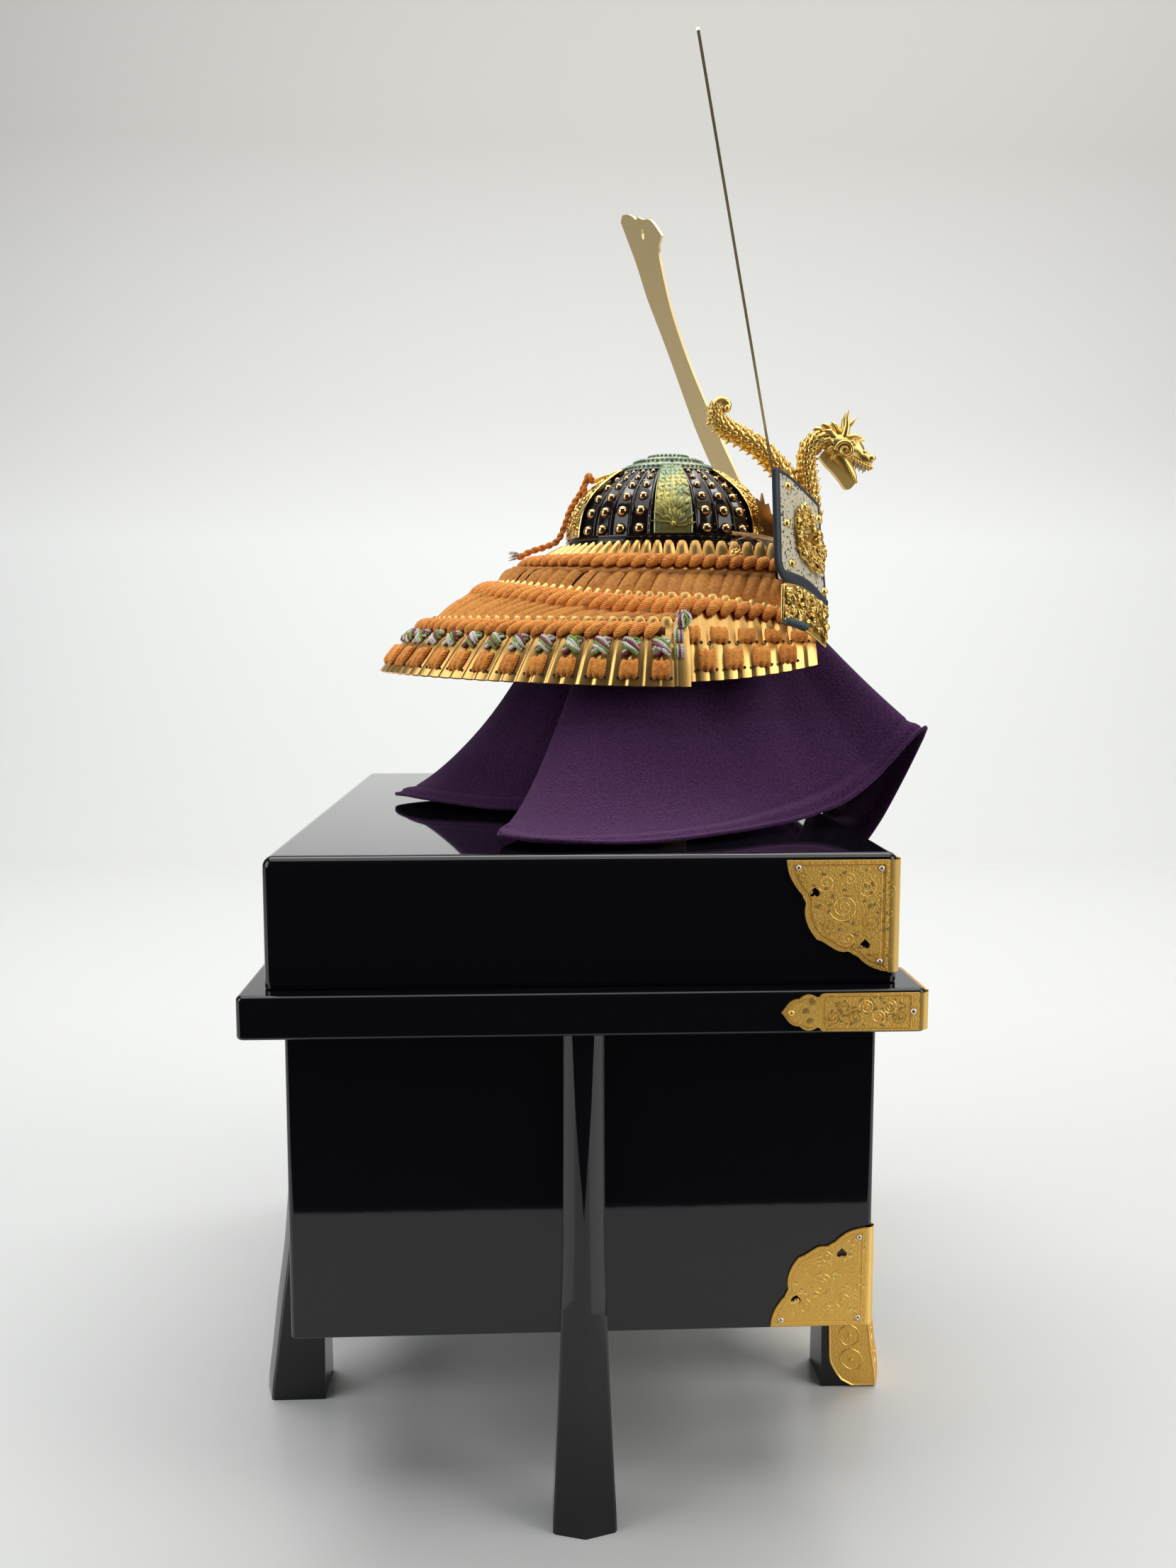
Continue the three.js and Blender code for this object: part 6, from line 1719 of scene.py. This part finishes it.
# Turn-backs
turnColumns = "out back top bottom lean"
turnUpper = makeTable(turnColumns, (-54.2, -67.5, 14, -37, 5), (-66, -57, 20.5, -28.3, 4),
                      (-76, -48, 25.5, -25, 3), (-84, -40.5, 27.5, -23.5, 2))
turnLower = makeTable(turnColumns, (-72.5, -68.5, -36.6, -55.5, 0), (-81.5, -59, -30.6, -49, 0),
                      (-90, -50.5, -27.6, -45.5, 0), (-97, -43, -27.2, -44, 0))


def turnPoint(rows, sx, u, v, lift):
    out, back, top, bottom, tilt = (smooth(rows, u, k) for k in ("out", "back", "top", "bottom", "lean"))
    far, near = min(1, u + 0.02), max(0, u - 0.02)
    ahead = Vector([smooth(rows, far, k) - smooth(rows, near, k) for k in ("out", "back")]).normalized()
    return Vector((-sx * (out - ahead.y * lift), bowl["centreY"] + back - tilt * (1 - v) + ahead.x * lift,
                   bowl["base"] + mix(bottom, top, v)))


turnback = {"thick": 1.6, "edging": 2.75, "topEdging": 1.15, "rivet": 1.9, "plaqueWide": 10.4,
            "plaqueHigh": 15.0}
turnRivets = [(0.68, 0.9), (0.74, 0.54), (0.66, 0.18), (0.03, 0.86), (0.03, 0.16), (0.04, 0.44)]


def makeUpperTurn(side, sx):
    # Speckled leather with a padded edging and rivets
    def at(u, v, lift):
        return turnPoint(turnUpper, sx, u, v, lift)

    def outward(u, v):
        return (at(u, v, 1.0) - at(u, v, 0.0)).normalized()

    bag = newBag()
    addSheet(bag, lambda u, v: at(u, v, turnback["thick"]), 20, 24, 0)
    addSheet(bag, lambda u, v: at(u, v, 0.0), 20, 12, 1)
    # Padded edging: broad along the free edge and the foot, narrow along the top and the root
    corner = [(1.0, 1 - i / 20) for i in range(20)] + [(1 - i / 20, 0.0) for i in range(21)]
    soft = []
    for u, v in corner:
        near = hypot(1 - u, v)
        pull = 0.05 * exp(-(near / 0.07) ** 2)
        soft.append((u - 0.035 - pull, v + 0.045 + pull))
    soft = [(clamp(u), clamp(v)) for u, v in soft]
    addTube(bag, [at(u, v, 1.3) for u, v in soft], turnback["edging"], 9, 1, 0.5, 0.55,
            [outward(u, v) for u, v in soft])
    addTube(bag, [at(clamp(u - 0.1), clamp(v + 0.065), 1.9) for u, v in corner], 0.35, 5, 2)
    top = [(1 - i / 20, 1.0) for i in range(21)] + [(0.0, 1 - i / 20) for i in range(21)]
    addTube(bag, [at(u, v, 0.9) for u, v in top], turnback["topEdging"], 8, 1)
    for u, v in turnRivets:
        here, out = at(u, v, 1.7), outward(u, v)
        addDome(bag, here, out, turnback["rivet"], 1.7, 14, 6, 3)
        addDome(bag, here, out, turnback["rivet"] + 0.6, 0.5, 14, 3, 3)
    makePiece(f"turnbackUpper{side.title()}", bag, [speckled, navyEdge, holeShadeAndDarkSeam, goldCast],
              [f"turnback_upper_{side}"], sharp=60)


def makePlaque(side, sx, pick):
    # Foliage plaque: a lobed ground under leaves, scrolls and buds
    plaque = newBag()
    wide, high = turnback["plaqueWide"], turnback["plaqueHigh"]

    def onto(x, z, lift):
        return turnPoint(turnUpper, sx, clamp(0.30 + x / 40), clamp(0.53 + z / 51), 1.75 + lift)

    base = []
    for i in range(36):
        a = i * pi / 18
        base.append((wide * cos(a) * (1 + 0.1 * sin(5 * a)), high * sin(a) * (1 + 0.08 * cos(7 * a))))
    cutSheet(plaque, base, [], onto, 1.3, 0, 0.4)
    for _ in range(110):
        a, r = pick.uniform(0, 6.28), pick.uniform(0.1, 1.0) ** 0.5
        long, turn = pick.uniform(3.0, 5.6), pick.uniform(0, 6.28)
        leaf(plaque, onto, (11 * r * cos(a), 14.6 * r * sin(a)), long, turn, pick.uniform(1.1, 2.6), 0.28, 0,
             0.5, 1.2)
    for _ in range(24):
        a, r = pick.uniform(0, 6.28), pick.uniform(0.1, 0.85) ** 0.5
        size, turn, lift = pick.uniform(1.6, 2.8), pick.uniform(0, 6.28), pick.uniform(1.9, 3.2)
        scroll(plaque, onto, (wide * r * cos(a), 14 * r * sin(a)), size, 1.3, turn, lift, 0.55,
               pick.choice((-1, 1)), 0)
    for _ in range(26):
        a, r = pick.uniform(0, 6.28), pick.uniform(0.1, 1.0) ** 0.5
        spot = onto(11 * r * cos(a), 14.4 * r * sin(a), pick.uniform(1.6, 3.0))
        addBall(plaque, spot, pick.uniform(0.7, 1.2), None, 7, 5)
    makePiece(f"turnbackPlaque{side.title()}", plaque, [goldCast], [f"turnback_plaque_{side}"],
              sharp=60)


def makeLowerTurn(side, sx, pick):
    # Cast relief with a teal padded corner
    low, thick = newBag(), turnback["thick"]

    def foot(u, v, lift):
        return turnPoint(turnLower, sx, u, v, lift)

    def onto(x, z, lift):
        return foot(clamp(x / 35), clamp(z / 16.5), thick + lift)

    addSheet(low, lambda u, v: foot(u, v, thick + 0.35 * noise.noise(Vector((u * 9, v * 6, 3)))), 30, 14, 0)
    addSheet(low, lambda u, v: foot(u, v, 0.0), 16, 6, 0)
    rim = [(i / 16, 0) for i in range(17)] + [(1, i / 8) for i in range(1, 9)]
    rim += [(1 - i / 16, 1) for i in range(1, 17)] + [(0, 1 - i / 8) for i in range(1, 9)]
    addTube(low, [foot(u, v, thick / 2) for u, v in rim], 1.0, 7, 0)
    for _ in range(84):
        place, long, turn = (pick.uniform(1, 34),
                             pick.uniform(1.2, 15.4)), pick.uniform(2.8, 5.0), pick.uniform(0, 6.28)
        leaf(low, onto, place, long, turn, pick.uniform(0.2, 1.7), 0.28, 0, 0.5, 1.3)
    for _ in range(18):
        place, size, turn = (pick.uniform(3, 32),
                             pick.uniform(3, 14)), pick.uniform(1.6, 2.6), pick.uniform(0, 6.28)
        scroll(low, onto, place, size, 1.3, turn, pick.uniform(0.8, 1.5), 0.5, pick.choice((-1, 1)), 0)
    for _ in range(26):
        spot = onto(pick.uniform(1, 34), pick.uniform(1, 15.4), pick.uniform(0.7, 1.6))
        addBall(low, spot, pick.uniform(0.6, 1.1), None, 7, 5)
    hem = [foot(mix(1.0, 0.5, i / 22), 0.1, 1.9) + Vector((0, 0, -1.2)) for i in range(23)]
    addTube(low, hem, lambda t: 2.6 + 0.35 * sin(t * 46), 10, 1, 0.5, 0.7)
    makePiece(f"turnbackLower{side.title()}", low, [goldCast, tealEdge],
              [f"turnback_lower_{side}"], sharp=60)


speckled = addGrain(newMaterial("speckledLeather", (0.78, 0.72, 0.54), 0.7), 900, 0.2, 0.0002)
addMottle(speckled, ((0.76, 0.7, 0.52), (0.05, 0.05, 0.05)), 640, 0.585, 0.615, 2.0)
for side, sx in (("left", -1), ("right", 1)):
    pick = random.Random(21)
    makeUpperTurn(side, sx)
    makePlaque(side, sx, pick)
    makeLowerTurn(side, sx, pick)
print("turn-backs made")

# Back ring, cord, plaque and corner knots
def twisted(bag, route, radius, pitch):
    # Two strands wound round one another along a route
    fine = []
    for i in range(len(route) - 1):
        fine += [route[i].lerp(route[i + 1], t / 4) for t in range(4)]
    fine.append(route[-1])
    for k in range(2):
        path, gone = [], 0.0
        for i, here in enumerate(fine):
            along = (fine[min(i + 1, len(fine) - 1)] - fine[max(i - 1, 0)]).normalized()
            up = Vector((1, 0, 0))
            side = along.cross(up).normalized()
            gone += (here - fine[i - 1]).length if i else 0
            a = gone / pitch * 2 * pi + k * pi
            path.append(here + (up * cos(a) + side * sin(a)) * radius * 0.5)
        addTube(bag, path, radius * 0.62, 8, 0, 0.4 + 0.3 * k)


backRing = {"halfWide": 4.9, "halfLong": 6.3, "y": -18.6, "z": 459.6, "tilt": -19, "wire": 0.85}


def makeRing():
    ring = newBag()
    tilt = radians(backRing["tilt"])
    loop = []
    for i in range(37):
        a = i / 36 * 2 * pi
        x, y = backRing["halfWide"] * cos(a), backRing["halfLong"] * sin(a)
        loop.append(Vector((x, backRing["y"] + y * cos(tilt), backRing["z"] + y * sin(tilt))))
    addTube(ring, loop, backRing["wire"], 9, 0, caps=False)
    for y, z, size in ((-25.0, 461.4, 2.3), (-23.2, 459.8, 1.7)):
        addBall(ring, Vector((0, y, z)), (size, size, size * 0.8), None, 12, 8)
    # Small plaque under the cord where it meets the first tier
    for k in range(9):
        t = k / 8
        here = Vector((0, mix(-1.0, 12.6, t), mix(422.4, 414.6, t)))
        for x in (-4, -2, 0, 2, 4):
            addBall(ring, here + Vector((x, 0, 0.5)), (1.25, 1.0, 1.3), None, 8, 6)
    for y, z in ((-2.6, 423.2), (14.2, 413.6)):
        addBall(ring, Vector((0, y, z)), (5.4, 1.8, 2.0), None, 12, 8, 1)
    makePiece("backRing", ring, [goldSmooth, tealEdge], ["back_ring"], sharp=60)


cordRoute = [(42.8, 33.5), (46.4, 26), (52, 17), (55.6, 7), (59.2, 0.4), (66, -2.8), (73, -5),
             (80, -8.4)]  # back and up
backCord = {"radius": 1.6, "pitch": 8.0, "diameter": 0.0036, "steps": 44, "frays": 46}


def makeCord():
    # The cord hangs from the ring, down the bowl and out over the guard
    cord, loops = newBag(), newBag()
    rows = [{"y": bowl["centreY"] + back, "z": bowl["base"] + up} for back, up in cordRoute]
    steps = backCord["steps"]
    route = [Vector((0, smooth(rows, i / steps, "y"), smooth(rows, i / steps, "z")))
             for i in range(steps + 1)]
    twisted(cord, route, backCord["radius"], backCord["pitch"])
    for x, y1, z1 in ((-1.8, -8.4, 447.5), (1.8, -7.4, 449.5)):
        fall = [(x * 0.6, -12.0, 461.2), (x, -9.6, 459.6), (x, -8.8, 456.6), (x, -8.4, 452.6),
                (x * 1.1, y1, z1)]
        twisted(loops, [Vector(p) for p in fall], 1.5, backCord["pitch"])
    wrap = []
    for i in range(25):
        a = i / 24 * 2 * pi
        wrap.append(Vector((3.4 * sin(a), -11.4 + 1.6 * cos(a), 459.4 + 1.7 * cos(a))))
    twisted(loops, wrap, 1.35, 7.0)
    pick = random.Random(8)
    for _ in range(backCord["frays"]):
        # Frayed pale end
        end = Vector((pick.uniform(-3.4, 3.4), 26.4 + pick.uniform(2, 6), 417.6 + pick.uniform(-2.4, 3.6)))
        root = Vector((pick.uniform(-1.2, 1.2), 25.6, 418.3 + pick.uniform(-0.8, 0.8)))
        middle = root.lerp(end, 0.5) + Vector((0, 0, pick.uniform(0, 1.2)))
        addTube(loops, [root, middle, end], lambda t: 0.2 * (1 - 0.6 * t), 4, 1, 0.8)
    hanging = makePiece("backCord", cord, [orangeCord], ["back_cord"], sharp=80)
    ends = makePiece("cordLoops", loops, [orangeCord, frayed], sharp=80)
    long = sum((b - a).length for a, b in zip(route, route[1:])) * 0.001
    toMetres(route[0])
    [toMetres(p) for p in route]


tassel = {"end": 0.985, "top": 0.97, "foot": 0.78, "strands": 13, "strand": 0.75, "bands": (0.70, 0.46),
          "bandHalf": 0.12}


def makeCornerKnot(side, sx):
    # Tassel of strands at a front corner of the third tier, over two short bands
    knot = newBag()
    top, out = guardFrame(tierThree, tassel["end"] * sx, tassel["top"])
    foot, _ = guardFrame(tierThree, tassel["end"] * sx, tassel["foot"])
    top = top + Vector((sx * -0.6, -1.4, 3.6))
    pick = random.Random(14)
    for k in range(tassel["strands"]):
        a = k / tassel["strands"] * 2 * pi
        ring = Vector((cos(a) * 1.5, sin(a) * 2.3, 0))
        path = []
        for i in range(9):
            t = i / 8
            spread = ring * (0.45 + 0.75 * sin(pi * clamp(t * 1.1)) ** 0.8)
            sway = Vector((0, pick.uniform(-0.2, 0.2) + 1.2 * sin(t * 3 + k), 0))
            path.append(top.lerp(foot + out * 1.6, t) + spread + sway)
        look = (0, 1, 0, 2, 1, 0, 2)[k % 7]
        addTube(knot, path, lambda t: tassel["strand"] * (1 - 0.3 * t), 6, look, pick.uniform(0.3, 0.9))
    tall = tassel["bandHalf"]
    for k, v in enumerate(tassel["bands"]):
        _, out = guardFrame(tierThree, 0.978 * sx, v)
        for j in range(5):
            q = (0.972 + 0.0035 * j) * sx
            low, _ = guardFrame(tierThree, q, v - tall)
            high, _ = guardFrame(tierThree, q, v + tall * 0.5)
            puff = 1.5 * (1 - 0.15 * abs(j - 2))
            path = [low.lerp(high, i / 6) + out * (0.6 + puff * sin(pi * i / 6) ** 0.7) for i in range(7)]
            addTube(knot, path, 0.6, 6, (0, 1, 0, 2, 0)[(j + k) % 5], 0.6)
    makePiece(f"cornerKnot{side.title()}", knot, [whiteCord, greenCord, maroonCord],
              [f"corner_knot_{side}"], sharp=80)


rosette = {"rosette": 3.1, "petals": 8, "arcRadius": 56.0, "arcWire": 1.15}
trimArc = [(206, 420.8), (208.5, 422.4), (212, 424.2), (217, 425.6), (221, 426.0), (225, 425.6), (229, 424.6),
           (233, 423.0), (237, 421.2)]  # bearing and height


def makeTrim(side, sx):
    # Rosette on the first tier and the bronze arc at the end of the peak
    trim = newBag()
    here, out = guardFrame(tierOne, 0.88 * sx, 0.64)
    here = here + out * 1.4
    addDome(trim, here, out, rosette["rosette"], 0.9, 18, 3, 0)
    addDome(trim, here + out * 0.8, out, 1.2, 1.0, 12, 4, 0)
    flat = out.orthogonal().normalized()
    for k in range(rosette["petals"]):
        a = k * 2 * pi / rosette["petals"]
        petal = here + out * 0.8 + (flat * cos(a) + out.cross(flat) * sin(a)) * 2.2
        addBall(trim, petal, 0.75, None, 8, 5)
    arc = []
    for bearing, z in trimArc:
        a, r = radians(bearing), rosette["arcRadius"]
        arc.append(Vector((-sx * r * cos(a), bowl["centreY"] + r * sin(a), z)))
    addTube(trim, arc, rosette["arcWire"], 8, 1, flat=0.7)
    makePiece(f"trim{side.title()}", trim, [goldSmooth, finBronze], sharp=60)


frayed = newCord("frayedEnd", (0.62, 0.45, 0.32), (0.9, 0.8, 0.7), 0.9, 3)
makeRing()
makeCord()
for side, sx in (("left", -1), ("right", 1)):
    makeCornerKnot(side, sx)
    makeTrim(side, sx)
print("small pieces made")
